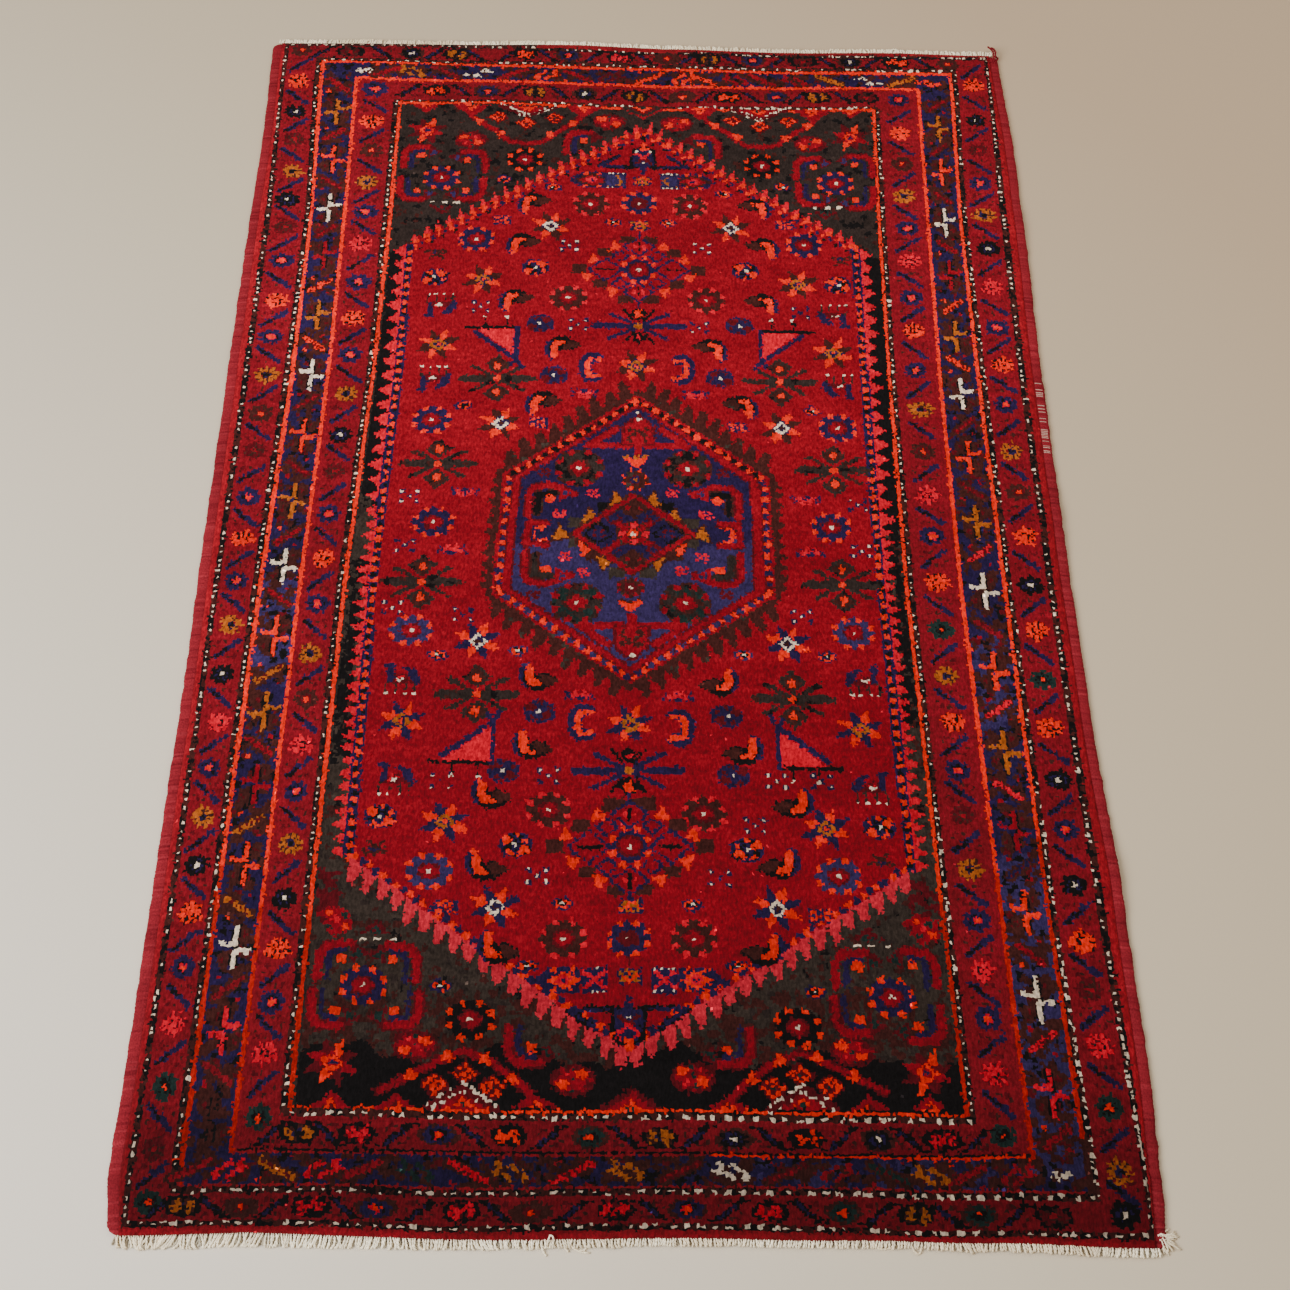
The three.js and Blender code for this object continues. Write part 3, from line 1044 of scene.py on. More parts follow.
def lattice(place, up):
    """up is 1 for the diamond above the medallion, and -1 for the one below it, which is its mirror image."""
    x, y = on_chart(*place)
    for side in (-1, 1):
        for px, py, half_x, half_y in LATTICE_STEPS:
            step_x, step_y = x + side * px, y + up * py
            block(step_x - half_x, step_x + half_x, step_y - half_y, step_y + half_y, "b")
        for px, py, tilt in ((76, 24, 1), (86, -19, -1), (43, -50, -1), (40, 53, 1)):
            dart(x + side * px, y + up * py, side, up * tilt)
        for px, py, half_x, half_y in ((56, 0, 32, 27), (31, 30, 17, 15), (31, -30, 17, 15)):
            diamond(x + side * px, y + up * py, half_x, half_y, "n")
            diamond(x + side * px, y + up * py, half_x - 6, half_y - 5, "r")
        stroke([(x + side * 42, y), (x + side * 70, y)], 5, "k")
    for px, py, half_x, half_y in ((0, 51, 29, 23), (0, -49, 27, 23)):
        diamond(x, y + up * py, half_x, half_y, "n")
        diamond(x, y + up * py, half_x - 6, half_y - 5, "r")
        stroke([(x, y + up * (py - 9)), (x, y + up * (py + 9))], 5, "k")
        for side in (-1, 1):
            spot(x + side * 7, y + up * py, "p", 3, 5)
    spot(x, y, "n", 25, 24)
    for side in (-1, 1):
        for px, py in ((10, 27), (24, 11), (24, -11), (9, -27)):
            spot(x + side * px, y + up * py, "o", 5, 6)
    spot(x, y, "d", 18, 17)
    spot(x, y, "r", 14, 13)
    spot(x, y, "w", 4, 3)
    for way in (-1, 1):
        stroke([(x, y + way * 70), (x, y + way * 84)], 5, "n")
        dart(x, y + way * 90, 1, -way * up, 8)


lattice((4, 526), 1)
lattice((-10, -524), -1)

# %% [markdown]
# Both ends of the field are closed by half medallions that hang from the border line: a crimson band
# with orange leaves around a dark bay with three small flowers, and a zigzag of white knots. Round motifs
# like pomegranates stand between them, and the corners hold a rosette between four brackets.

# %% Half medallions, brackets and fruits at the ends of the field
def half_medallion(line, leaves, flowers, zigzag, inner, up):
    """up is 1 for one that hangs from the far line, and -1 for one that stands on the near line."""
    stroke(path(*line), 12, "d")
    stroke(path(*line), 8, "r")
    for x, y in leaves:
        cx, cy = on_chart(x, y)
        dart(cx, cy, 1 if x > line[len(line) // 2][0] else -1, -up, 10)
    for x, y in flowers:
        cx, cy = on_chart(x, y)
        diamond(cx, cy, 20, 17, "d")
        for a in (-1, 0, 1):
            for b in (-1, 0, 1):
                spot(cx + (a - b) * 6, cy + (a + b) * 5, "o", 3.2, 2.8)
        spot(cx, cy, "g", 2)
    patch(path(zigzag[0], zigzag[1], zigzag[2]), "r")
    patch(path(*inner), "o")
    cx, cy = on_chart(sum(p[0] for p in inner) / 3, sum(p[1] for p in inner) / 3)
    spot(cx, cy, "g", 3)
    for start, end in zip(zigzag[:-1], zigzag[1:]):
        for n in range(12):
            px = start[0] + (end[0] - start[0]) * n / 11
            py = start[1] + (end[1] - start[1]) * n / 11
            cx, cy = on_chart(px, py)
            spot(cx, cy, "d", 5)
            spot(cx, cy + 4.6, "w", 2.2)
            if n % 3:
                spot(cx, cy - 3.4, "w", 2.2)


def mirrored(points, about):
    """Points turned over about a place across the rug."""
    return [(2 * about - x, y) for x, y in points]


FAR_LINE = (
    (-295, 892), (-284, 874), (-258, 853), (-236, 836), (-221, 818), (-192, 813), (-164, 816), (-131, 848),
    (-104, 868), (-88, 890),
)
FAR_LEAVES = ((-275, 864), (-236, 834), (-151, 835), (-112, 862))
FAR_FLOWERS = ((-242, 877), (-192, 863), (-143, 877))
FAR_ZIGZAG = ((-238, 905), (-191, 880), (-142, 904))
FAR_INNER = ((-208, 903), (-190, 892), (-172, 903))
FAR_HALF = (FAR_LINE, FAR_LEAVES, FAR_FLOWERS, FAR_ZIGZAG, FAR_INNER)
FAR_MIDDLE = 13
half_medallion(*FAR_HALF, 1)
half_medallion(*(mirrored(row, FAR_MIDDLE) for row in FAR_HALF), 1)
NEAR_LINE = ((-330, -868), (-291, -847), (-262, -832), (-224, -815), (-190, -828), (-160, -851), (-136, -872))
NEAR_LEAVES = ((-245, -820), (-291, -845), (-197, -824), (-161, -849))
NEAR_FLOWERS = ((-260, -860), (-222, -845), (-186, -863))
NEAR_ZIGZAG = ((-266, -889), (-224, -863), (-181, -892))
NEAR_INNER = ((-238, -888), (-224, -876), (-208, -889))
NEAR_HALF = (NEAR_LINE, NEAR_LEAVES, NEAR_FLOWERS, NEAR_ZIGZAG, NEAR_INNER)
NEAR_MIDDLE = -6
half_medallion(*NEAR_HALF, -1)
half_medallion(*(mirrored(row, NEAR_MIDDLE) for row in NEAR_HALF), -1)


def bump(left, right, tip, edge, yarn="r", inner="o"):
    """A triangle on the line at an end of the field, with a smaller one inside it."""
    middle = (left + right) / 2
    patch(path((left, edge), (middle, tip), (right, edge)), yarn)
    shorter = edge + (tip - edge) * 0.55
    patch(path((middle - 13, edge), (middle, shorter), (middle + 13, edge)), inner)
    spot(*on_chart(middle, edge + (tip - edge) * 0.2), "d", 3)


FIELD_FAR = 907
FIELD_NEAR = -891
FAR_BUMPS = (
    (-398, -340, 884), (-324, -254, 876), (-126, -57, 878), (78, 147, 876), (276, 346, 874), (356, 402, 886),
)
NEAR_BUMPS = (
    (-416, -364, -868), (-336, -280, -872), (-163, -97, -871), (88, 146, -872), (270, 326, -874),
    (352, 400, -870),
)
for left, right, tip in FAR_BUMPS:
    bump(left, right, tip, FIELD_FAR)
for left, right, tip in NEAR_BUMPS:
    bump(left, right, tip, FIELD_NEAR)
for reach, yarn in ((44, "r"), (36, "c"), (27, "d"), (18, "o"), (9, "g")):
    patch(path((12 - reach, FIELD_FAR), (12, FIELD_FAR - reach * 0.7), (12 + reach, FIELD_FAR)), yarn)
for reach, yarn in ((40, "d"), (30, "r"), (16, "o"), (8, "g")):
    patch(path((-8 - reach, FIELD_NEAR), (-8, FIELD_NEAR + reach * 0.75), (-8 + reach, FIELD_NEAR)), yarn)


def fruit(x, y, half_width=29, half_height=20):
    """A round crimson motif with two orange blots and small dark seeds."""
    cx, cy = on_chart(x, y)
    spot(cx, cy, "d", half_width, half_height)
    part, radius, angle, dx, dy = polar(cx, cy, half_width - 4, half_height - 3)
    part[radius < 0.85 + 0.15 * np.cos(8 * angle)] = YARNS.index("r")
    turn = 1 if x * y < 0 else -1
    spot(cx - turn * 13, cy + 7, "o", 9, 6)
    spot(cx + turn * 12, cy - 6, "o", 8, 6)
    for dx, dy in ((8, 8), (-9, -8), (0, 0), (-2, 12), (3, -12)):
        spot(cx + turn * dx, cy + dy, "p" if dx * dy > 0 else "g", 2.6)


FRUITS = (
    (-287, 820), (303, 822), (-47, 870), (71, 868), (-289, -808), (279, -814), (-83, -853), (72, -848),
)
for x, y in FRUITS:
    fruit(x, y)


def bracket(x, y, side, up, accent="n"):
    """A crimson bracket round an orange square, with a dark hook inside and a small triangle beside."""
    cx, cy = on_chart(x, y)
    outline = [(cx + side * px, cy + up * py) for px, py in ((-28, -27), (-27, 6), (-17, 19), (14, 20))]
    stroke(outline, 14, "d")
    stroke(outline, 11, "r")
    inner = [(cx + side * px, cy + up * py) for px, py in ((-15, -28), (-14, 3), (-8, 9), (5, 11))]
    stroke(inner, 7.5, "n")
    block(cx - 6 + side * 3, cx + 6 + side * 3, cy - 6, cy + 6, "o")
    tip = [(cx + side * px, cy + up * py) for px, py in ((38, 8), (17, 24), (13, -6))]
    patch(tip, "d")
    patch([(cx + side * px, cy + up * py) for px, py in ((31, 6), (20, 15), (18, -1))], accent)


FAR_BRACKETS = (
    (-373, 781, 1, 1), (-287, 771, -1, 1), (-376, 698, 1, -1), (-289, 700, -1, -1),
    (304, 768, 1, 1), (382, 775, -1, 1), (306, 699, 1, -1), (379, 692, -1, -1),
)
NEAR_BRACKETS = (
    (-394, -689, 1, 1), (-320, -692, -1, 1), (-398, -762, 1, -1), (-314, -762, -1, -1),
    (291, -697, 1, 1), (369, -695, -1, 1), (288, -769, 1, -1), (371, -780, -1, -1),
)
for x, y, side, up in FAR_BRACKETS:
    bracket(x, y, side, up, "u")
for x, y, side, up in NEAR_BRACKETS:
    bracket(x, y, side, up, "g")
for x, y, side, up in ((-93, 822, 1, 1), (115, 816, -1, 1), (-139, -811, 1, -1), (119, -812, -1, -1)):
    bracket(x, y, side, up, "d" if up > 0 else "g")
for x, edge, up in ((-322, 672, 1), (330, 672, 1), (-342, -662, -1), (318, -668, -1)):
    for dx in (-24, -4, 16):
        cx, cy = on_chart(x + dx, edge)
        block(cx - 5, cx + 5, cy - 2, cy + 2, "w")
    bump(x - 30, x + 14, edge - up * 28, edge - up * 8, "d", "g")
for x, y in ((-405, -637), (384, -645)):
    cx, cy = on_chart(x, y)
    patch([(cx + dx, cy + dy) for dx, dy in ((-27, 10), (-8, 22), (20, 16), (24, -10), (-2, -22))], "r")
    seeds = ((-8, 12, "o"), (14, -6, "o"), (-6, -8, "g"), (12, 9, "g"), (2, 2, "p"), (-16, 2, "d"))
    for dx, dy, yarn in seeds:
        spot(cx + dx, cy + dy, yarn, 5, 4)
for left, right in ((-424, -395), (372, 408)):
    mottle(left, right, -625, -570, "q", "d", 26, 8)
print("brackets:", len(FAR_BRACKETS + NEAR_BRACKETS) + 4)

# %% [markdown]
# In the middle of each end of the hexagon is a palmette with two hooked wings, and beneath it a
# cartouche: a pointed oval and a square to each side of a small gold flower.

# %% Palmettes and cartouches
def wings(x, y, reach, rise, up, yarn, width):
    """A hooked wing to each side."""
    for side in (-1, 1):
        tip = (x + side * (reach - 34), y + up * rise)
        stroke([(x + side * 18, y), (x + side * reach, y + up * 2), tip], width, yarn)


def palmette(place, up):
    """A round-topped bud over two wings. up is 1 where its tip points to the far end."""
    x, y = on_chart(*place)
    wings(x, y, 76, 26, up, "k", 9)
    wings(x, y, 76, 26, up, "n", 5)
    patch([(x - 24, y), (x - 21, y + up * 44), (x, y + up * 52), (x + 21, y + up * 44), (x + 24, y)], "k")
    bud = ((-18, 2), (-16, 40), (0, 46), (16, 40), (18, 2))
    patch([(x + px, y + up * py) for px, py in bud], "n")
    stroke([(x - 13, y + up * 10), (x, y + up * 22), (x + 13, y + up * 10)], 7, "d")
    stroke([(x - 12, y + up * 32), (x, y + up * 22), (x + 12, y + up * 32)], 5, "p")
    patch([(x - 8, y + up * 2), (x, y - up * 22), (x + 8, y + up * 2)], "n")
    for side in (-1, 1):
        spot(x + side * 13, y + up * 38, "w" if up > 0 else "p", 3.2, 4)
    spot(x, y + up * 12, "w", 2.6)
    spot(x, y + up * 44, "o", 6, 5)
    spot(x, y + up * 54, "o", 5, 4)


palmette((12, 760), 1)
palmette((-12, -757), -1)


def cartouche(x, y, side, far):
    """side is -1 for the one on the left of the flower."""
    cx, cy = on_chart(x, y)
    ring, filling, spots_yarn = ("b", "r", "p") if far else ("n", "o", "p")
    oval = ((56, 0), (34, 17), (-6, 17), (-6, -17), (34, -17))
    patch([(cx + side * px, cy + py) for px, py in oval], "n")
    diamond(cx + side * 16, cy, 33, 17, ring)
    diamond(cx + side * 16, cy, 24, 12, filling)
    diamond(cx + side * 16, cy, 14, 8, spots_yarn)
    spot(cx + side * 16, cy, "n", 3)
    for dx in (4, 28):
        spot(cx + side * dx, cy + 14, "o", 4, 3)
        spot(cx + side * dx, cy - 14, "o", 4, 3)
    square = cx - side * 25
    block(square - 17, square + 17, cy - 18, cy + 18, "n")
    for way in (-1, 1):
        stroke([(square - 13, cy - way * 11), (square + 13, cy + way * 11)], 5, "y" if far else "p")
        for dot in range(4):
            spot(square - 12 + dot * 8, cy + way * 16, "w", 1.9)
    if far:
        block(square - 15, square + 15, cy - 12, cy + 12, "u")
        stroke([(square - side * 2, cy + 10), (square - side * 11, cy), (square - side * 2, cy - 10)], 4, "y")


for x, y, side in ((-60, 729, -1), (82, 728, 1), (-82, -718, -1), (62, -717, 1)):
    cartouche(x, y, side, y > 0)
SMALL_FAN = """
.....o.....
....ooo....
...ooyoo...
..ooynyoo..
oo.ynnny.oo
..nyyoyyn..
....nnn....
"""
for x, y, flip in ((10, 729, ""), (-12, -711, "y"), (6, 628, ""), (-10, -614, "")):
    stamp(SMALL_FAN, *on_chart(x, y), flip)
for x, y0, y1 in ((10, 716, 640), (-12, -640, -700)):
    stroke(path((x, y0), (x, y1)), 3, "d")
rosette((5, 676), "n", "o", "d", "w", half=30)
rosette((-12, -659), "n", "o", "d", "w", half=29)

# %% [markdown]
# The medallion is a hexagon of its own. Its brown teeth stand out over the crimson, then come a crimson
# line, a chain of orange and black, a second crimson line, and the indigo ground. The dyer's second lot
# of indigo was lighter, and it took over a little below the middle.

# %% Medallion: its edge and its ground
MEDALLION = ((2, 251), (-196, 102), (-207, -110), (-10, -257), (198, -110), (196, 98))
INDIGO = ((2, 237), (-178, 96), (-187, -103), (-10, -236), (175, -102), (174, 90))
medallion = path(*MEDALLION)
centre = on_chart(0, -3)


def grown(points, by):
    """An outline grown outwards from the medallion's middle by some millimetres."""
    made = []
    for x, y in points:
        away = math.hypot(x - centre[0], y - centre[1])
        made.append((x + (x - centre[0]) / away * by, y + (y - centre[1]) / away * by))
    return made


edges = list(zip(medallion, medallion[1:] + medallion[:1]))
patch(grown(medallion, 21.5), "b")
for n, line in enumerate(edges):
    slanted = n not in (1, 4)
    upper = n in (0, 5)
    pitch = 26 if slanted else 19
    height = 34 if upper else 31 if slanted else 16
    lean = {0: -0.5, 5: 0.5, 2: 0.35, 3: -0.35}.get(n, 0)
    teeth(line, pitch, height, "b", offset=12, base=1.06, lean=lean, blunt=0.45 if upper else 0.3)
patch(grown(medallion, 11), "r")
patch(grown(medallion, 5.5), "d")
for n, line in enumerate(edges):
    chain(line, 10.3, "ok" if n in (0, 5) else "on", 5.4, slip=0.7)
patch(grown(medallion, -5), "d")
patch(grown(medallion, -7.5), "r")
patch(grown(path(*INDIGO), 3), "d")
patch(path(*INDIGO), "n")
part, x, y = window((-230, 230), (-290, 270))
second_lot = -22 + 10 * np.sin(x * 0.045) + 5 * np.sin(x * 0.17 + 1)
part[(part == YARNS.index("n")) & (y < second_lot) & (np.abs(x + 6) < 190) & (y > -242)] = YARNS.index("u")

# %% [markdown]
# On the indigo ground lie four large flowers, a crimson bracket in each corner and, above and below, a bud
# with two wings like those of the palmettes. They are strokes and spots again, and only the gold heart is
# charted knot by knot.

# %% Medallion: flowers, brackets and wings
for x, y in ((-89, 118), (79, 118), (-89, -129), (72, -129)):
    cx, cy = on_chart(x, y)
    spot(cx, cy, "b", 39, 36)
    rosette((x, y), "c", "r", "r", "w", half=37, squash=0.92, edge="b")
    mottle(cx - 38, cx + 38, cy - 36, cy + 36, "c", "k" if y > 0 else "g", 30, 7)
for x, y in ((-66, 70), (-117, 31), (56, 70), (104, 31), (-108, -47), (98, -47), (-78, -73), (69, -71)):
    stamp(PETALS, *on_chart(x, y))
for x, y in ((-144, 108), (134, 111), (-154, -115), (134, -113)):
    stamp(PETALS, *on_chart(x, y), "", {"p": "d"})


def medallion_bracket(x, y, side, up):
    """A crimson bracket round a dark hook, with a triangle beside it. side and up say how it is turned."""
    cx, cy = on_chart(x, y)
    line = [(-30, -34), (-31, 10), (-20, 22), (6, 24), (26, 14), (40, 8)]
    line = [(cx + side * px, cy + up * py) for px, py in line]
    stroke(line, 13, "d")
    stroke(line, 10, "r")
    hook = [(cx - side * 16, cy - up * 26), (cx - side * 16, cy + up * 7), (cx + side * 8, cy + up * 10)]
    stroke(hook, 14, "b")
    stroke(hook, 11, "k" if up > 0 else "c")
    patch([(cx + side * px, cy + up * py) for px, py in ((16, 26), (16, -6), (42, 10))], "r")
    patch([(cx + side * px, cy + up * py) for px, py in ((21, 17), (21, 3), (34, 10))], "u")
    spot(cx + side * 2, cy - up * 2, "o", 9, 7)


for x, y, side, up in ((-135, 60, 1, 1), (126, 60, -1, 1), (-138, -72, 1, -1), (126, -72, -1, -1)):
    medallion_bracket(x, y, side, up)
for x, side in ((-152, 1), (142, -1)):
    cx, cy = on_chart(x, -6)
    outer = ((16, 20), (-12, 20), (-16, -18), (16, -20))
    line = [(cx + side * px, cy + py) for px, py in outer]
    stroke(line, 13, "d")
    stroke(line, 9, "r")
    inner = ((16, 12), (-3, 11), (-3, -10), (16, -12))
    line = [(cx + side * px, cy + py) for px, py in inner]
    stroke(line, 3.4, "o")


def medallion_wings(y, up, reach):
    """A crimson bud with two wings. up is 1 for the one above the medallion's middle."""
    x, y = on_chart(2 if up > 0 else -8, y)
    for side in (-1, 1):
        points = [(x + side * 14, y), (x + side * reach, y), (x + side * (reach - 42), y + up * 32)]
        stroke(points, 14, "d")
        stroke(points, 10, "r")
    body = [(x - 29, y), (x - 26, y + up * 40), (x, y + up * 62), (x + 26, y + up * 40), (x + 29, y)]
    patch(body, "d")
    patch([(x + (px - x) * 0.82, y + 2 * up + (py - y) * 0.9) for px, py in body], "r")
    stroke([(x - 16, y + up * 16), (x, y + up * 28), (x + 16, y + up * 16)], 6, "b")
    stroke([(x - 14, y + up * 34), (x, y + up * 28), (x + 14, y + up * 34)], 4, "b")
    for side in (-1, 1):
        spot(x + side * 15, y + up * 30, "b", 4)
        spot(x + side * 12, y + up * 10, "b", 4)
    stroke([(x, y - up * 16), (x, y + up * 4)], 14, "r")
    spot(x + 1, y + up * 52, "w", 4)
    spot(x - 3, y + up * (62 if up > 0 else 53), "w", 3.4)


medallion_wings(162, 1, 78)
medallion_wings(-168, -1, 77)
GOLD_HEART = """
.yy.......yy.
yooy.yyy.yooy
oooooyyyooooo
.ooooooooooo.
..ooooooooo..
...ooooooo...
....ooooo....
.....ooo.....
"""
stamp(GOLD_HEART, *on_chart(0, 131))
stamp(GOLD_HEART, *on_chart(-9, -133), "", {"y": "b"})
rosette((-2, 96), "b", "o", "n", "y", half=20, squash=1.0)
rosette((-9, -101), "b", "r", "d", "w", half=21, squash=0.8)

# %% [markdown]
# The middle of the medallion is a diamond with stepped corners: dark blocks and gold darts around it, a
# brown and a crimson outline, and small diamonds inside around a flower with a white eye.

# %% Medallion: the diamond in its middle
cx, cy = on_chart(-5, -4)
for dx, dy, yarn in (
    (-43, 50, "k"), (47, 50, "k"), (-88, 19, "q"), (86, 19, "q"), (-86, -17, "q"), (86, -17, "q"),
    (-22, -70, "q"), (24, -70, "q"), (-58, -42, "b"), (62, -40, "b"),
):
    block(cx + dx - 13, cx + dx + 13, cy + dy - 9, cy + dy + 9, yarn)
for dx, dy, yarn in (
    (-26, 64, "y"), (28, 64, "y"), (-66, 32, "y"), (62, 32, "y"), (-110, 1, "y"), (104, 1, "y"),
    (-72, -29, "o"), (70, -29, "o"), (-42, -55, "y"), (36, -55, "y"),
):
    dart(cx + dx, cy + dy, -1 if dx < 0 else 1, 1 if dy > 0 else -1, 17, "b")
    dart(cx + dx, cy + dy, -1 if dx < 0 else 1, 1 if dy > 0 else -1, 13, yarn)
for size, yarn in ((101, "b"), (96, "r"), (84, "b"), (80, "n")):
    diamond(cx, cy, size, size * 0.78, yarn)
for way in (-1, 1):
    stroke([(cx - 45, cy - way * 35), (cx + 45, cy + way * 35)], 12, "d")
    stroke([(cx - 45, cy - way * 35), (cx + 45, cy + way * 35)], 8, "r")
    diamond(cx + way * 53, cy, 25, 22, "k")
    diamond(cx + way * 53, cy, 20, 17, "n")
    diamond(cx, cy + way * 46, 24, 19, "b")
    for dx, dy in ((-6, 5), (6, 5), (-6, -5), (6, -5)):
        spot(cx + way * 53 + dx, cy + dy, "d", 3.4)
        spot(cx + dx * 1.5, cy + way * 46, "r", 3.6)
    for up in (-1, 1):
        diamond(cx + way * 31, cy + up * 29, 14, 12, "d")
        diamond(cx + way * 31, cy + up * 29, 9, 8, "n")
spot(cx, cy, "b", 26, 22)
for n in range(8):
    turn = math.radians(45 * n)
    spot(cx + 18 * math.cos(turn), cy + 15 * math.sin(turn), "r" if n % 2 else "p", 6.5, 5.5)
spot(cx, cy, "o", 8, 7)
spot(cx - 1, cy - 1, "w", 4.6, 4)
print("medallion:", [tuple(round(v) for v in corner) for corner in medallion])

# %% [markdown]
# No weaver follows a chart exactly. A knot next to the edge of a colour is often tied in its neighbour's
# yarn, and the ground yarns were spun from mixed wool, so they are speckled. Both are put in at the end.

# %% Slips of the weaver's hand
mottle(-424, 409, -890, -300, "q", "b", 900, 6)
mottle(-424, 409, -890, -740, "q", "b", 700, 9)
mottle(-424, 409, -890, -300, "q", "c", 1500, 7)
mottle(-424, 409, -890, 908, "c", "b", 2400, 6)
mottle(-424, 409, -890, 908, "c", "k", 2400, 7)
mottle(-196, 196, -257, 251, "b", "q", 160, 6)
SLIP_SHARE = 0.085
kept = chart.copy()
for step_row, step_column in ((0, 1), (0, -1), (1, 0), (-1, 0)):
    neighbour = np.roll(kept, (step_row, step_column), (0, 1))
    swapped = (chance.random(chart.shape) < SLIP_SHARE) & (neighbour != YARNS.index("w"))
    swapped[[0, -1], :] = False
    chart[swapped] = neighbour[swapped]
print("knots tied in a neighbour's yarn:", int((chart != kept).sum()))

# %% [markdown]
# The chart is flat and square, while the rug wanders, so each place on the chart is carried to the rug
# through the same tables as the outline. The solids have five low ripples, where the cloth stands a few
# millimetres off the floor after it was unrolled. The pile and the back follow them too, or they would
# cut into the solids they stand for.

# %% From the chart to the rug
MM = 0.001
FIT_GAP = 0.3
CELLS_ACROSS = 21
CELLS_ALONG = 33
RUG_LENGTH = 2112.0
RIPPLES = (  # middle across and along, direction of the crest, half length, half width, height
    (-640, 330, -12, 210, 80, 3.5),
    (-640, -420, 8, 240, 90, 4.0),
    (640, -560, 170, 260, 95, 4.5),
    (640, 30, 186, 220, 85, 3.5),
    (640, 640, 176, 200, 80, 3.0),
)


def lift(x, y):
    """How far the underside stands off the floor."""
    height = np.zeros(np.broadcast(x, y).shape)
    for middle_x, middle_y, crest, reach, half, top in RIPPLES:
        turn = math.radians(crest)
        down = ((x - middle_x) * math.cos(turn) + (y - middle_y) * math.sin(turn)) / reach
        off = ((y - middle_y) * math.cos(turn) - (x - middle_x) * math.sin(turn)) / half
        down = np.clip(down, -1, 1) * math.pi / 2
        off = np.clip(off, -1, 1) * math.pi / 2
        height += top * np.cos(down) ** 2 * np.cos(off) ** 2
    return height


def on_rug(chart_x, chart_y):
    """Columns and rows of the chart, turned into a net of places on the rug, in millimetres."""
    x = np.stack([np.interp(chart_x, LINE_ON_CHART, line_places(y)) for y in chart_y])
    near = through(END_STATIONS, NEAR_END, x)
    far = through(END_STATIONS, FAR_END, x)
    share = (chart_y[:, None] - CARPET_NEAR) / (CARPET_FAR - CARPET_NEAR)
    rows = np.broadcast_to(chart_y[:, None], x.shape)
    return x, near + (far - near) * share + drift(x, rows)


def end_at(x, outward):
    """Where the pile ends at the near side (outward -1) or the far side (outward 1)."""
    edge, row = (NEAR_END, CARPET_NEAR) if outward < 0 else (FAR_END, CARPET_FAR)
    return through(END_STATIONS, edge, x) + drift(x, np.full(np.shape(x), row))


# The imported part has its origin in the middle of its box, so the tables are shifted by what is left.
stations = np.linspace(-0.5, 0.5, CELLS_ALONG + 1) * RUG_LENGTH
carpet_left = min(through(SIDE_STATIONS, LEFT_EDGE, stations)) + SELVEDGE_WIDTH + FIT_GAP
near_corners = [line_places(CARPET_NEAR)[i] for i in (0, -1)]
near_across = np.linspace(near_corners[0] + FIT_GAP, near_corners[1] - FIT_GAP, CELLS_ACROSS + 1)
carpet_near = min(through(END_STATIONS, NEAR_END, near_across))
carpet_low, carpet_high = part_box("knotted_carpet")
SHIFT_X = carpet_low[0] / MM - carpet_left
SHIFT_Y = carpet_low[1] / MM - carpet_near
print(f"shift of the tables: {SHIFT_X:.2f} mm across, {SHIFT_Y:.2f} mm along")


def in_metres(x, y, z):
    """Places in the tables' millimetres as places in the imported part's metres."""
    return np.stack([x + SHIFT_X, y + SHIFT_Y, z + 0 * x], -1) * MM


# %% [markdown]
# Every piece here is a mesh made from arrays of points, because a rug is hundreds of thousands of nearly
# equal small things, and placing them one by one would take minutes. A net of points turns into faces
# row by row, and two facts ride on each face for the materials: which yarn it is, and its own tone.

# %% Tools for meshes
def net_faces(rows, columns, closed=False):
    """Faces of a net of points. A closed net joins its last column to its first, as a tube does."""
    count = columns if closed else columns - 1
    column = np.arange(count)
    row = np.arange(rows - 1)[:, None] * columns
    a = row + column
    b = row + (column + 1) % columns
    return np.stack([a, b, b + columns, a + columns], -1).reshape(-1, 4)


def make_piece(name, points, faces, material, yarn=None, tone=None, uv=None):
    """A mesh object in the frame. yarn and tone are one value a face, uv is one place a corner."""
    mesh = bpy.data.meshes.new(name)
    points = np.ascontiguousarray(points, np.float32).reshape(-1, 3)
    faces = np.ascontiguousarray(faces, np.int32)
    mesh.vertices.add(len(points))
    mesh.vertices.foreach_set("co", points.ravel())
    mesh.loops.add(faces.size)
    mesh.loops.foreach_set("vertex_index", faces.ravel())
    mesh.polygons.add(len(faces))
    mesh.polygons.foreach_set("loop_start", np.arange(len(faces), dtype=np.int32) * 4)
    mesh.polygons.foreach_set("use_smooth", np.ones(len(faces), bool))
    for label, kind, values in (("yarn", "FLOAT", yarn), ("tone", "FLOAT", tone)):
        if values is not None:
            attribute = mesh.attributes.new(label, kind, "FACE")
            attribute.data.foreach_set("value", np.ascontiguousarray(values, np.float32).ravel())
    if uv is not None:
        layer = mesh.uv_layers.new(name="OFBake")
        layer.uv.foreach_set("vector", np.ascontiguousarray(uv, np.float32).ravel())
    mesh.update(calc_edges=True)
    mesh.materials.append(material)
    piece = bpy.data.objects.new(name, mesh)
    bpy.context.scene.collection.objects.link(piece)
    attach(piece, "root")
    print(f"{name}: {len(faces) * 2} triangles")
    return piece


# %% [markdown]
# Colours are sRGB hex values. Those of the yarns were matched to the photograph by comparing measured
# medians of it and of renders. A shader works in linear light, so one function turns one into the other.
# One more function adds a node, since a material is mostly nodes and their settings.

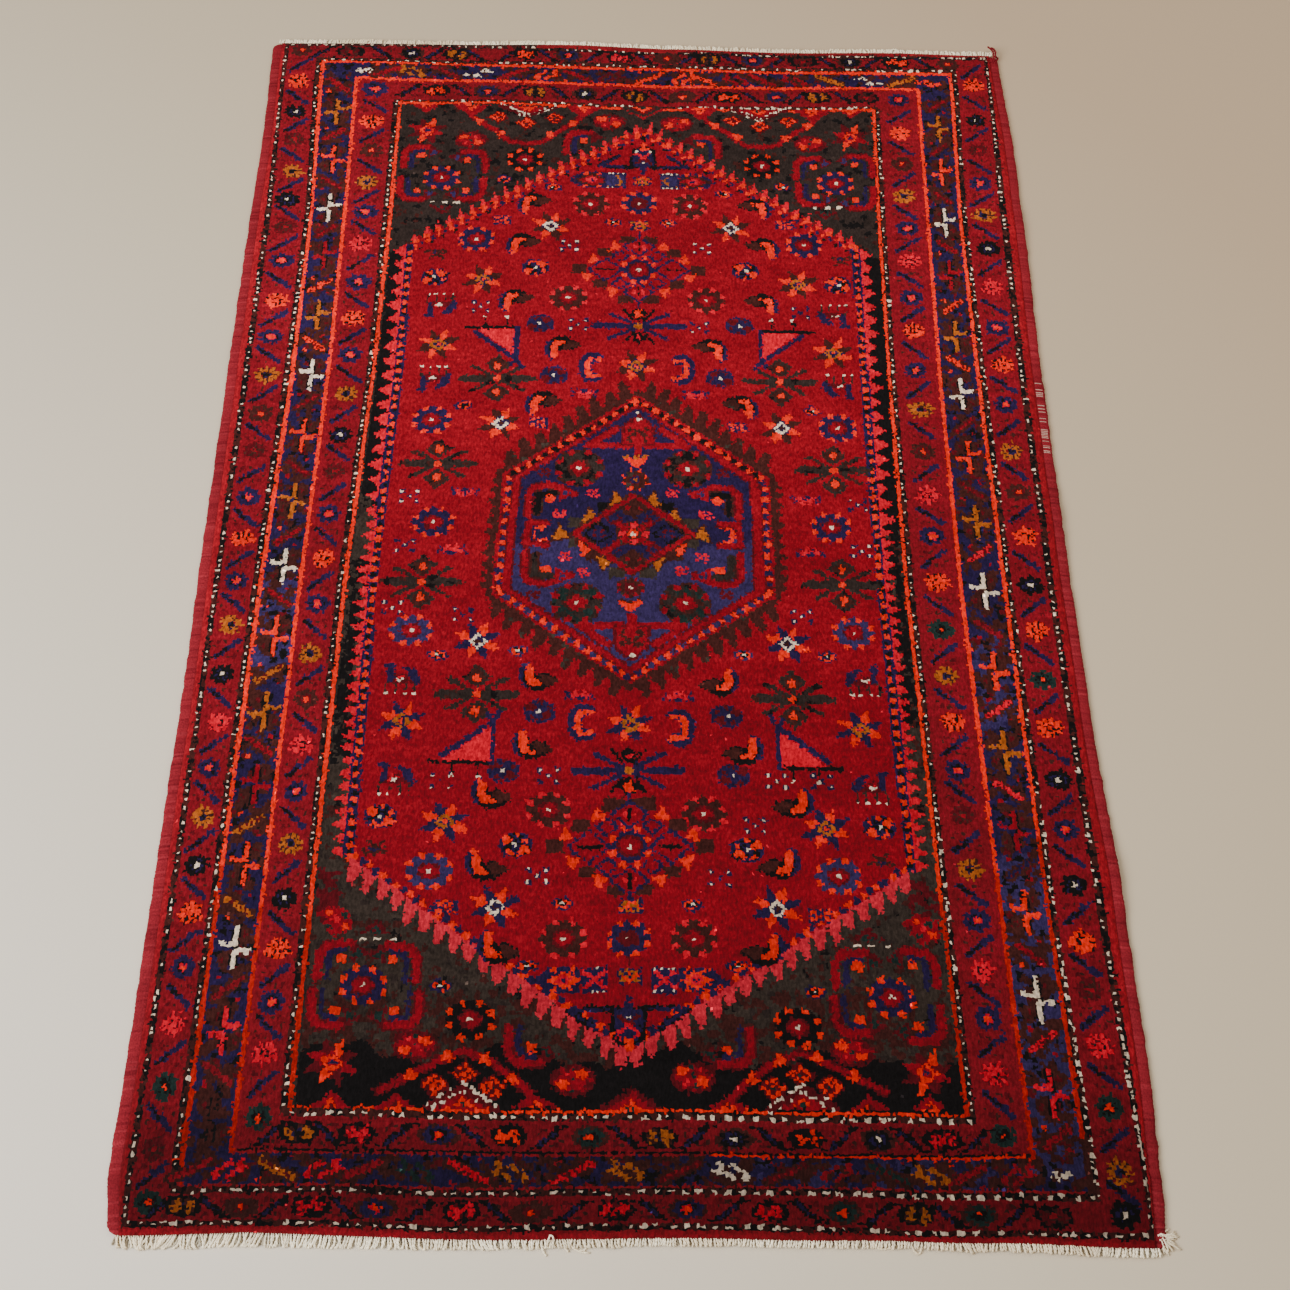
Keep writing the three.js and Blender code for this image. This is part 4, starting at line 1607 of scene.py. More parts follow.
# %% Tools for materials
def linear(hex_colour):
    """An sRGB hex value as linear light."""
    parts = [int(hex_colour[i : i + 2], 16) / 255 for i in (1, 3, 5)]
    return (*(p / 12.92 if p <= 0.04045 else ((p + 0.055) / 1.055) ** 2.4 for p in parts), 1.0)


def node(tree, kind, sockets=None, **settings):
    """Adds one node. Each socket is given a value, or the output of another node to feed it."""
    made = tree.nodes.new("ShaderNode" + kind)
    for name, value in settings.items():
        setattr(made, name, value)
    for name, value in (sockets or {}).items():
        if isinstance(value, bpy.types.NodeSocket):
            tree.links.new(value, made.inputs[name])
        else:
            made.inputs[name].default_value = value
    return made


def new_material(name):
    """A material, its node tree and its shader."""
    material = bpy.data.materials.new(name)
    material.use_nodes = True
    tree = material.node_tree
    return material, tree, tree.nodes["Principled BSDF"]


def yarn_palette(tree, colours):
    """The colour of each face's yarn: a ramp of flat steps, one for each yarn."""
    count = len(colours)
    number = node(tree, "Attribute", attribute_name="yarn")
    place = node(tree, "MapRange", {0: number.outputs["Fac"], 1: -0.5, 2: count - 0.5})
    ramp = node(tree, "ValToRGB", {0: place.outputs[0]})
    ramp.color_ramp.interpolation = "CONSTANT"
    steps = ramp.color_ramp.elements
    for n, colour in enumerate(colours):
        step = steps[n] if n < 2 else steps.new(n / count)
        step.position = n / count
        step.color = linear(colour)
    return ramp.outputs[0]


def fibre_look(tree, shader, colour, fibres, dark, light, depth, strength):
    """Tones a colour by each face's own tone and by a noise of fibres, and raises the fibres a little."""
    tone = node(tree, "Attribute", attribute_name="tone")
    streak = node(tree, "MapRange", {0: fibres.outputs[0], 1: 0.3, 2: 0.7, 3: dark, 4: light})
    amount = node(tree, "Math", {0: tone.outputs["Fac"], 1: streak.outputs[0]}, operation="MULTIPLY")
    toned = node(tree, "VectorMath", {0: colour, "Scale": amount.outputs[0]}, operation="SCALE")
    raised = node(tree, "Bump", {"Height": fibres.outputs[0], "Distance": depth * MM, "Strength": strength})
    tree.links.new(toned.outputs[0], shader.inputs["Base Color"])
    tree.links.new(raised.outputs[0], shader.inputs["Normal"])


def matte(shader, roughness, specular):
    """A dull surface, with little or no gloss."""
    shader.inputs["Roughness"].default_value = roughness
    shader.inputs["Specular IOR Level"].default_value = specular


# %% [markdown]
# Wool pile: wool yarn dyed with madder and indigo, tied in knots and sheared level. Seen from above, one
# looks at cut fibre ends, which scatter light and never shine, with a soft sheen at low angles. Each tuft
# took up the dye a little differently, so the tone changes from knot to knot and, dye lot by dye lot,
# from one band of rows to the next.

# %% Material: sheared wool pile
TUFT = 3.0 * MM
wool_pile, tree, shader = new_material("sheared_wool_pile")
palette = yarn_palette(tree, YARN_HEX)
where = node(tree, "TexCoord")
lay = node(tree, "Mapping", {"Vector": where.outputs["Object"], "Scale": (1.0, 0.45, 1.0)})
fibres = node(tree, "TexNoise", {"Vector": lay.outputs[0], "Scale": 0.9 / TUFT, "Detail": 4.0})
fibre_look(tree, shader, palette, fibres, dark=0.62, light=1.32, depth=1.6, strength=0.85)
matte(shader, roughness=0.92, specular=0.08)
shader.inputs["Sheen Weight"].default_value = 0.02
shader.inputs["Sheen Roughness"].default_value = 0.6
print("material:", wool_pile.name)

# %% [markdown]
# The pile is one surface of tufts, a face for each knot. One mesh of 300,000 knots would be heavy to move
# about, so it is made in four lengthwise strips that share their edges exactly. Each corner stands a
# little off its place, since no two tufts are sheared alike, and that keeps the edges of the colours from
# looking ruled. Along the rug's outline the surface turns down to the foundation.

# %% Pile in four strips
PILE_TOP = 10.5
RIM_FOOT = 1.2
TUFT_SCATTER = 0.7
SHEARING = 0.42
STRIPS = 4

PILE_SEED = 11
scatter = np.random.default_rng(PILE_SEED)
net_x = np.concatenate([[across[0] - KNOT / 2], across + KNOT / 2])
net_y = np.concatenate([[along[0] - KNOT / 2], along + KNOT / 2])
net_shape = (len(net_y), len(net_x))
slip_x = scatter.normal(0, TUFT_SCATTER, net_shape).clip(-1.3, 1.3)
slip_y = scatter.normal(0, TUFT_SCATTER * 1.3, net_shape).clip(-1.5, 1.5)
sheared = scatter.normal(0, SHEARING, net_shape).clip(-0.9, 0.9)

# Three rings of points make the rim: how far in and how far down the pile's edge, shoulder and foot lie.
RIM = ((1.0, -0.3), (0.2, -1.5), (0.0, RIM_FOOT - PILE_TOP))
EDGE_FALL = 2.4
EDGE_REACH = 16.0


def with_rim(numbers):
    """Numbers of a net's columns or rows, with the two rings of the rim added before and after."""
    return np.concatenate([[numbers[0]] * 2, numbers, [numbers[-1]] * 2])


def rim_ring(count):
    """Which ring of the rim each column or row is on, counted from outside, and 3 further in."""
    from_edge = np.minimum(np.arange(count), np.arange(count)[::-1])
    return np.minimum(from_edge, 3)


all_columns = with_rim(np.arange(net_shape[1]))
all_rows = with_rim(np.arange(net_shape[0]))
flat_x, flat_y = on_rug(net_x, net_y)
pile_x = flat_x[np.ix_(all_rows, all_columns)]
pile_y = flat_y[np.ix_(all_rows, all_columns)]
inside = np.ix_(all_rows, all_columns)
ring_x = rim_ring(len(all_columns))[None, :]
ring_y = rim_ring(len(all_rows))[:, None]
ring = np.minimum(ring_x, ring_y)
loose = (ring == 3) * 1.0
draw_in = np.array([FIT_GAP + RIM[2][0], FIT_GAP + RIM[1][0], FIT_GAP + RIM[0][0], 0.0])
drop = np.array([RIM[2][1], RIM[1][1], RIM[0][1], 0.0])
side = np.where(np.arange(len(all_columns)) < len(all_columns) / 2, 1, -1)[None, :]
end = np.where(np.arange(len(all_rows)) < len(all_rows) / 2, 1, -1)[:, None]
pile_x = pile_x + side * draw_in[ring_x] + slip_x[inside] * loose
pile_y = pile_y + end * draw_in[ring_y] * 0.8 + slip_y[inside] * loose
steps_in_x = np.minimum(all_columns, net_shape[1] - 1 - all_columns) * KNOT
steps_in_y = np.minimum(all_rows, net_shape[0] - 1 - all_rows) * KNOT
inwards = np.minimum(steps_in_x[None, :], steps_in_y[:, None])
fall = np.where(ring > 0, EDGE_FALL * (1 - np.clip(inwards / EDGE_REACH, 0, 1)) ** 2, 0.0)
pile_z = PILE_TOP + drop[ring] - fall + sheared[inside] * loose + lift(pile_x, pile_y)

# The yarn and the tone of each face. A face of the rim belongs to the knot beside it.
face_columns = np.clip(np.arange(len(all_columns) - 1) - 2, 0, COLUMNS - 1)
face_rows = np.clip(np.arange(len(all_rows) - 1) - 2, 0, ROWS - 1)
face_yarn = chart[np.ix_(face_rows, face_columns)]
LOT_ROWS = 19
lot_starts = np.arange(0, ROWS + 2 * LOT_ROWS, LOT_ROWS)
dye_lots = np.interp(np.arange(ROWS), lot_starts, scatter.normal(1, 0.035, len(lot_starts)))
row_tone = dye_lots * scatter.normal(1, 0.025, ROWS)


def blotches(reach_x, reach_y, spread):
    """Tones that change smoothly over so many knots across and along."""
    coarse = scatter.normal(0, spread, (ROWS // reach_y + 3, COLUMNS // reach_x + 3))
    row = np.arange(ROWS) / reach_y
    column = np.arange(COLUMNS) / reach_x
    low, left = row.astype(int), column.astype(int)
    up, right = (row - low)[:, None], (column - left)[None, :]
    near = coarse[low][:, left] * (1 - right) + coarse[low][:, left + 1] * right
    far = coarse[low + 1][:, left] * (1 - right) + coarse[low + 1][:, left + 1] * right
    return near * (1 - up) + far * up


knot_tone = scatter.normal(1, 0.1, (ROWS, COLUMNS)) * row_tone[:, None]
for reach_x, reach_y, spread in ((3, 2, 0.09), (9, 5, 0.07), (30, 16, 0.06)):
    knot_tone *= 1 + blotches(reach_x, reach_y, spread)
WHITE_TONE = 0.9
FLECK_SHARE = 0.0007
BRIGHTEST = 2.6
DARKEST = 0.3
knot_tone[chart == YARNS.index("w")] *= WHITE_TONE
flecks = scatter.random((ROWS, COLUMNS)) < FLECK_SHARE

# The near end is darker, most of all its borders, and the far borders are brighter. These factors were
# worked out from the brightness of the photograph beside that of the render, at places along the rug.
# These factors paint shade and sheen into the pile's colour, with some wear: the nap, seen against its lean
# at the near end, looks darker there and brighter at the far borders.
WEAR_AND_SHADE_STATIONS = np.array([-1056, -1000, -940, -880, -800, -600, -400, -200, 0, 200, 400, 600, 900, 1056.0])
WEAR_AND_SHADE_FIELD = np.array([0.50, 0.50, 0.50, 0.50, 0.52, 0.64, 0.70, 0.80, 0.87, 1.05, 1.06, 1.04, 1.02, 1.0])
WEAR_AND_SHADE_BORDER = np.array([0.35, 0.35, 0.40, 0.51, 0.64, 0.74, 0.82, 0.98, 0.90, 0.97, 1.22, 1.28, 1.2, 1.12])
x, y = np.meshgrid(across, along)
in_field = np.clip((np.minimum(x + 470, 455 - x)) / 60, 0, 1) * np.clip((y + 940) / 60, 0, 1)
worn_and_shaded = in_field * np.interp(y, WEAR_AND_SHADE_STATIONS, WEAR_AND_SHADE_FIELD)
worn_and_shaded += (1 - in_field) * np.interp(y, WEAR_AND_SHADE_STATIONS, WEAR_AND_SHADE_BORDER)
from_sides = np.minimum(x - CARPET_LEFT, CARPET_RIGHT - x)
from_ends = np.minimum(y - CARPET_NEAR, CARPET_FAR - y)
from_edge = np.minimum(from_sides, from_ends)
at_edge = np.clip(1.6 - from_edge / 7, 0, 1)
# The plain red edge is less dark than the borders beside it, so it has factors of its own: painted shade,
# darkest along the near end and the left side near it.
kept_left = np.interp(y, (-1050, -825, -600, -300, 0), (0.3, 0.45, 0.7, 0.95, 1.05))
kept_near = np.interp(x, (-640, -450, -250, 640), (0.58, 0.54, 0.5, 0.5))
kept_red = np.where(y < -1040, kept_near, np.where(x < 0, kept_left, np.where(y < -700, 1.0, 0.95)))
knot_tone = knot_tone * (worn_and_shaded + at_edge * np.clip(kept_red - worn_and_shaded, 0, 1))
knot_tone = np.where(flecks, BRIGHTEST, knot_tone).clip(DARKEST, BRIGHTEST)
face_tone = knot_tone[np.ix_(face_rows, face_columns)]

# Widths of the faces for the colour map. Those of the rim stand nearly upright and need more than a knot.
RIM_WIDTHS = [6.4, 3.5]
UV_GUTTER = 8.0


def widths(count):
    """How far each of so many columns or rows lies from the first, on the surface."""
    return np.cumsum(np.concatenate([[0], RIM_WIDTHS, np.full(count - 5, KNOT), RIM_WIDTHS[::-1]]))


across_mm = widths(len(all_columns))
along_mm = widths(len(all_rows))


def strip_uv(first, last):
    """A strip's place on its colour map: its two halves side by side, each point once for each corner."""
    half = along_mm[-1] / 2
    size = half + 2 * UV_GUTTER
    u, v = np.meshgrid(across_mm[first : last + 1] - across_mm[first], along_mm)
    corners = []
    for down, right in ((0, 0), (0, 1), (1, 1), (1, 0)):
        rows = slice(down, len(along_mm) - 1 + down)
        columns = slice(right, last - first + right)
        corners.append(np.stack([u[rows, columns], v[rows, columns]], -1))
    corners = np.stack(corners, 2)
    second = (np.arange(len(along_mm) - 1) >= (len(along_mm) - 1) // 2)[:, None]
    cut = along_mm[(len(along_mm) - 1) // 2]
    corners[..., 0] += UV_GUTTER + second[..., None] * (u.max() + 2 * UV_GUTTER)
    corners[..., 1] += UV_GUTTER - second[..., None] * cut
    return corners / size


strip_edges = np.linspace(0, len(all_columns) - 1, STRIPS + 1).round().astype(int)
for number, (first, last) in enumerate(zip(strip_edges[:-1], strip_edges[1:])):
    columns = slice(first, last + 1)
    points = in_metres(pile_x[:, columns], pile_y[:, columns], pile_z[:, columns])
    faces = net_faces(len(all_rows), last - first + 1)
    strip = make_piece(
        f"pile_strip_{number + 1}",
        points,
        faces,
        wool_pile,
        yarn=face_yarn[:, first:last],
        tone=face_tone[:, first:last],
        uv=strip_uv(first, last),
    )

# %% [markdown]
# Turned over, a knotted rug shows its design again: each knot is a small bump across two warps, and the
# cotton wefts between the rows are hardly seen. The back is woven cloth, and it is the sheet that carries
# everything else. Two knots each way are drawn as one here, since the back lies on the floor.

# %% Material: woven back
BACK_CELL = 6.0
woven_back_wool, tree, shader = new_material("woven_back_of_wool_knots")
palette = yarn_palette(tree, YARN_HEX)
tone = node(tree, "Attribute", attribute_name="tone")
where = node(tree, "TexCoord")
knots = node(
    tree,
    "TexBrick",
    {
        "Vector": where.outputs["Object"],
        "Color1": (1, 1, 1, 1),
        "Color2": (0.8, 0.8, 0.8, 1),
        "Mortar": (0.25, 0.22, 0.2, 1),
        "Scale": 1.0,
        "Mortar Size": 0.35 * MM,
        "Mortar Smooth": 1.0,
        "Brick Width": KNOT * MM,
        "Row Height": KNOT * MM,
    },
    offset=0.0,
)
toned = node(tree, "VectorMath", {0: palette, "Scale": tone.outputs["Fac"]}, operation="SCALE")
netted = node(tree, "VectorMath", {0: toned.outputs[0], 1: knots.outputs[0]}, operation="MULTIPLY")
raised = node(tree, "Bump", {"Height": knots.outputs[1], "Distance": 0.6 * MM, "Strength": 1.0}, invert=True)
tree.links.new(netted.outputs[0], shader.inputs["Base Color"])
tree.links.new(raised.outputs[0], shader.inputs["Normal"])
matte(shader, roughness=0.88, specular=0.25)
print("material:", woven_back_wool.name)

# %% [markdown]
# The back is one net of points under the whole pile. Its outermost ring is turned up a little, so that no
# light shows between it and the pile.

# %% Woven back
BACK_RIM = 2.4
BACK_CLEARANCE = 0.25
BACK_UV_MARGIN = 4
back_columns = round((CARPET_RIGHT - CARPET_LEFT) / BACK_CELL)
back_rows = round((CARPET_FAR - CARPET_NEAR) / BACK_CELL)
back_x = np.linspace(CARPET_LEFT, CARPET_RIGHT, back_columns + 1)
back_y = np.linspace(CARPET_NEAR, CARPET_FAR, back_rows + 1)
back_x = np.concatenate([back_x[:1], back_x, back_x[-1:]])
back_y = np.concatenate([back_y[:1], back_y, back_y[-1:]])
x, y = on_rug(back_x, back_y)
turned_up = np.zeros(x.shape, bool)
turned_up[[0, -1], :] = True
turned_up[:, [0, -1]] = True
x[:, :2] += FIT_GAP
x[:, -2:] -= FIT_GAP
z = np.where(turned_up, BACK_RIM, BACK_CLEARANCE) + lift(x, y)
column = np.clip((np.arange(back_columns + 2) - 0.5) * BACK_CELL / KNOT, 0, COLUMNS - 1).astype(int)
row = np.clip((np.arange(back_rows + 2) - 0.5) * BACK_CELL / KNOT, 0, ROWS - 1).astype(int)
back_yarn = chart[np.ix_(row, column)]
back_tone = scatter.normal(0.9, 0.06, back_yarn.shape)
faces = net_faces(*x.shape)[:, ::-1]
u, v = np.meshgrid(np.arange(x.shape[1]), np.arange(x.shape[0]))
back_uv = np.stack([u, v], -1).reshape(-1, 2)[faces.ravel()] + BACK_UV_MARGIN
back_uv = back_uv / (x.shape[0] + 2 * BACK_UV_MARGIN)
woven_back = make_piece(
    "woven_back",
    in_metres(x, y, z),
    faces,
    woven_back_wool,
    yarn=back_yarn,
    tone=back_tone,
    uv=back_uv,
)

# %% [markdown]
# Along both sides the outermost warps are bound into a flat cord, overcast with red wool so that the edge
# wears well. The turns of yarn lie side by side, slanting a little. A tube whose rings go out at each
# turn and in between turns gives those ribs a true outline. On the right side a few turns have worn
# through, and the pale warps show there as short dashes.

# %% Material: overcast selvedge wool
selvedge_wool, tree, shader = new_material("overcast_selvedge_wool")
SELVEDGE_COLOURS = ("#8B212B", "#7C1B25", "#C29A8E", "#962832")
palette = yarn_palette(tree, SELVEDGE_COLOURS)
where = node(tree, "TexCoord")
fibres = node(tree, "TexNoise", {"Vector": where.outputs["Object"], "Scale": 420.0, "Detail": 4.0})
fibre_look(tree, shader, palette, fibres, dark=0.72, light=1.28, depth=1.4, strength=0.8)
matte(shader, roughness=0.9, specular=0.1)
print("material:", selvedge_wool.name)

# %% [markdown]
# Each cord is one long tube from end to end. It is pulled in where the rug's corner is rounded, its width
# wanders a little as sewn wool does, and it closes to a blunt tip. Its rings are numbered by turn of the
# yarn, so that one turn can be darker than the next.

# %% Overcast selvedges
SELVEDGE_THICKNESS = 7.0
WRAP_PITCH = 3.2
WRAP_RIDGE = 0.2
RINGS_PER_WRAP = 2
WRAP_SIDES = 12
WRAP_SLANT = 1.2
CORD_SWELL = 1.4  # the wool bulges this much further out than its solid
CORD_TUCK = 3.2  # and reaches this far under the first tufts
ROUNDED = {"left": (18.0, 16.0), "right": (8.0, 14.0)}  # radius of the rug's corners, near and far
WORN_STRETCHES = {"left": (), "right": ((232, 74),)}  # middle along the rug, and half length
WORN_SHARE = 0.3
WORN_YARN = 2
UV_COLUMNS = 9
UV_SIDE = 3.2
UV_MARGIN = 2


def cord_uv(rings):
    """A cord's place on its colour map: cut into equal lengths that lie side by side."""
    row = np.repeat(np.arange(rings - 1), WRAP_SIDES)
    side = np.tile(np.arange(WRAP_SIDES), rings - 1)
    per_column = math.ceil((rings - 1) / UV_COLUMNS)
    column = row // per_column
    column_width = WRAP_SIDES * UV_SIDE + 2 * UV_MARGIN
    ring_width = WRAP_PITCH / RINGS_PER_WRAP
    corner_u = np.stack([side, side + 1, side + 1, side], -1)
    corner_v = np.stack([row, row, row + 1, row + 1], -1) - (column * per_column)[:, None]
    u = corner_u * UV_SIDE + UV_MARGIN + (column * column_width)[:, None]
    v = corner_v * ring_width + UV_MARGIN
    size = max(UV_COLUMNS * column_width, per_column * ring_width + 2 * UV_MARGIN)
    return row, side, np.stack([u, v], -1) / size


def selvedge(side, edge):
    """One side cord, along the edge that a table gives."""
    inward = 1 if side == "left" else -1
    wraps = round(RUG_LENGTH / WRAP_PITCH)
    rings = wraps * RINGS_PER_WRAP + 1
    share = np.linspace(0, 1, rings)
    angle = np.arange(WRAP_SIDES) / WRAP_SIDES * 2 * math.pi
    outer = through(SIDE_STATIONS, edge, (share - 0.5) * RUG_LENGTH) - inward * CORD_SWELL
    y = end_at(outer + inward * 8, -1)
    y = y + (end_at(outer + inward * 8, 1) - y) * share
    pulled_in = np.zeros(rings)
    for radius, away in zip(ROUNDED[side], (y - y[0], y[-1] - y)):
        short = np.clip(radius - away, 0, radius)
        pulled_in += (radius - np.sqrt(radius**2 - short**2)) * 0.8
    swells = np.arange(0, rings + 9, 9)
    bulge = np.interp(np.arange(rings), swells, scatter.normal(0, 0.5, len(swells)))
    half = (SELVEDGE_WIDTH + CORD_SWELL + CORD_TUCK - pulled_in + bulge) / 2
    middle = outer + inward * (SELVEDGE_WIDTH + CORD_SWELL + CORD_TUCK - half)
    ridge = np.where(np.arange(rings) % RINGS_PER_WRAP == 0, -WRAP_RIDGE, 0.0)
    wander = scatter.normal(0, 0.25, rings).clip(-0.5, 0.5)
    tip = np.minimum(1, np.sqrt(np.minimum(np.arange(rings), np.arange(rings)[::-1]) / 4 + 0.001))
    half_width = (half + ridge + wander) * tip
    half_height = (SELVEDGE_THICKNESS / 2 + 0.4 + ridge + wander) * tip
    # The power below one fills out the oval to the flat, full section of a cord sewn over two warps.
    full_cos = np.sign(np.cos(angle)) * np.abs(np.cos(angle)) ** 0.8
    full_sin = np.sign(np.sin(angle)) * np.abs(np.sin(angle)) ** 0.8
    net_x = middle[:, None] + half_width[:, None] * full_cos
    slant = WRAP_SLANT * np.cos(angle) * inward * np.minimum(1, np.minimum(share, 1 - share) * 60)[:, None]
    net_y = y[:, None] + slant
    rest = lift(middle, y)[:, None] + SELVEDGE_THICKNESS / 2
    net_z = rest + np.maximum(half_height[:, None] * full_sin, -SELVEDGE_THICKNESS / 2 + 0.1)
    faces = net_faces(rings, WRAP_SIDES, closed=True)
    wrap = np.repeat(np.arange(rings - 1) // RINGS_PER_WRAP, WRAP_SIDES)
    yarn = scatter.choice([0, 1, 3], wraps, p=[0.74, 0.14, 0.12])
    for place, reach in WORN_STRETCHES[side]:
        near = np.abs(y[: wraps * RINGS_PER_WRAP : RINGS_PER_WRAP] - place) / reach
        yarn[(near < 1) & (scatter.random(wraps) < WORN_SHARE)] = WORN_YARN
    tone = scatter.normal(1, 0.06, wraps)
    stretch = np.interp(np.linspace(0, 1, wraps), np.linspace(0, 1, 60), scatter.normal(1, 0.07, 60))
    # The cords take part of the borders' painted shade and sheen of the nap, with its wear, along their
    # length.
    wear_and_shade = np.interp(np.linspace(CARPET_NEAR, CARPET_FAR, wraps), WEAR_AND_SHADE_STATIONS, 0.6 + 0.4 * WEAR_AND_SHADE_BORDER)
    face_ring, face_side, uv = cord_uv(rings)
    # A worn turn shows on its upper side alone, and only on one of its rings.
    worn_through = (face_side >= 2) & (face_side <= 3) & (face_ring % RINGS_PER_WRAP == 0)
    yarn = np.where((yarn[wrap] == WORN_YARN) & ~worn_through, 0, yarn[wrap])
    return make_piece(
        f"overcast_selvedge_{side}",
        in_metres(net_x, net_y, net_z),
        faces,
        selvedge_wool,
        yarn=yarn,
        tone=(tone * stretch * wear_and_shade)[wrap],
        uv=uv,
    )


selvedges = [selvedge("left", LEFT_EDGE), selvedge("right", RIGHT_EDGE)]

# %% [markdown]
# At both short ends the warps that carried the knots come out of the weaving as a low cream fringe. Each
# is cotton spun fine and twisted from two plies, cut short. At the near end they are longest towards the
# left corner and have been trodden down over the edge of the pile towards the right. Years of use have
# bent them this way and that and left some dirt in them.

# %% Material: cotton warp
cotton_warp, tree, shader = new_material("unbleached_cotton_warp")
where = node(tree, "TexCoord")
fibres = node(tree, "TexNoise", {"Vector": where.outputs["Object"], "Scale": 900.0, "Detail": 2.0})
dirt = node(tree, "TexNoise", {"Vector": where.outputs["Object"], "Scale": 9.0, "Detail": 3.0})
soiled = node(tree, "ValToRGB", {0: dirt.outputs[0]})
soiled.color_ramp.elements[0].position = 0.38
soiled.color_ramp.elements[0].color = linear("#EBDABB")
soiled.color_ramp.elements[1].position = 0.56
soiled.color_ramp.elements[1].color = linear("#FFF3D8")
fibre_look(tree, shader, soiled.outputs[0], fibres, dark=0.85, light=1.05, depth=0.4, strength=0.6)
matte(shader, roughness=0.9, specular=0.2)
print("material:", cotton_warp.name)

# %% [markdown]
# A twisted cord is two thin tubes that wind round one path. All the cords of a fringe have as many steps,
# so they are made together: one array holds every path, and each tube is a ring of points at each step.

# %% Twisted cords
PLIES = 2
PLY_SIDES = 4
PLY_TWIST = 9.0  # millimetres to one turn
PLY_APART = 0.45  # shares of the cord's radius
PLY_THICK = 0.7
LOWEST = 0.1  # no point of a cord goes under this height


def twisted(paths, radius):
    """Nets of plies twisted round paths of the shape cords, steps, 3, with a radius for each step."""
    along_path = np.gradient(paths, axis=1)
    along_path /= np.linalg.norm(along_path, axis=2, keepdims=True) + 1e-9
    sideways = np.cross(along_path, (0.0, 0.0, 1.0))
    sideways /= np.linalg.norm(sideways, axis=2, keepdims=True) + 1e-9
    upward = np.cross(sideways, along_path)
    step = np.linalg.norm(np.diff(paths, axis=1), axis=2)
    run = np.concatenate([np.zeros((len(paths), 1)), np.cumsum(step, axis=1)], axis=1)
    start = scatter.uniform(0, math.pi, (len(paths), 1))
    apart = radius * PLY_APART
    thick = np.broadcast_to(radius * PLY_THICK, run.shape)[..., None, None]
    ring = np.arange(PLY_SIDES) / PLY_SIDES * 2 * math.pi + math.pi / 4
    ring_side = sideways[:, :, None, :] * np.cos(ring)[:, None]
    ring_up = upward[:, :, None, :] * np.sin(ring)[:, None]
    nets = []
    for ply in range(PLIES):
        twist = run / PLY_TWIST * 2 * math.pi + start + ply * 2 * math.pi / PLIES
        off_side = (np.cos(twist) * apart)[..., None]
        off_up = (np.sin(twist) * apart)[..., None]
        middle = paths + sideways * off_side + upward * off_up
        nets.append(middle[:, :, None, :] + (ring_side + ring_up) * thick)
    points = np.concatenate(nets)
    count, steps = points.shape[:2]
    one = net_faces(steps, PLY_SIDES, closed=True)[:, ::-1]
    last = PLY_SIDES * (steps - 1)
    caps = np.array([[0, 1, 2, 3], [last + 3, last + 2, last + 1, last]])
    one = np.concatenate([one, caps])
    faces = (np.arange(count)[:, None, None] * PLY_SIDES * steps + one).reshape(-1, 4)
    points[..., 2] = np.maximum(points[..., 2], LOWEST)
    return points.reshape(-1, 3), faces, len(one)


def joined(parts):
    """Several nets as one, with a tone for each face."""
    points, faces, tones, base = [], [], [], 0
    for some_points, some_faces, some_tones in parts:
        points.append(some_points)
        faces.append(some_faces + base)
        tones.append(some_tones)
        base += len(some_points)
    return np.concatenate(points), np.concatenate(faces), np.concatenate(tones)


def bent(stations, steps=9):
    """A loose thread through a few stations, as one path with evenly spread steps."""
    stations = np.array(stations, float)
    place = np.linspace(0, len(stations) - 1, steps)
    numbers = np.arange(len(stations))
    return np.stack([np.interp(place, numbers, stations[:, n]) for n in range(3)], -1)[None]


# %% [markdown]
# At the near end two layers of cords lie over each other, a light one and a darker one beneath it, and the
# far end has one. Small tables across the rug say how far the near ends reach and which way they lean.
# They follow the photograph. Some threads have come loose, and at the near right corner a whole tuft has.

# %% Warp ends at both short ends
CORD_PITCH = 3.1
CORD_RADIUS = 1.55
CORD_STEPS = 7
REACH_STATIONS = np.array([-650, -600, -480, -380, -290, -240, -110, 0, 150, 300, 450, 600, 645.0])
NEAR_REACH = np.array([13, 15.5, 16, 15, 12.5, 10, 8, 7.5, 7, 7, 8, 9.5, 9.5])
NEAR_LEAN = np.array([0.3, -0.45, -0.2, 0, 0, 0.05, 0.1, 0.1, 0, -0.1, 0.15, 0.1, 0.25])
FAR_REACH = np.full(len(REACH_STATIONS), 9.5)
FAR_LEAN = np.full(len(REACH_STATIONS), 0.05)


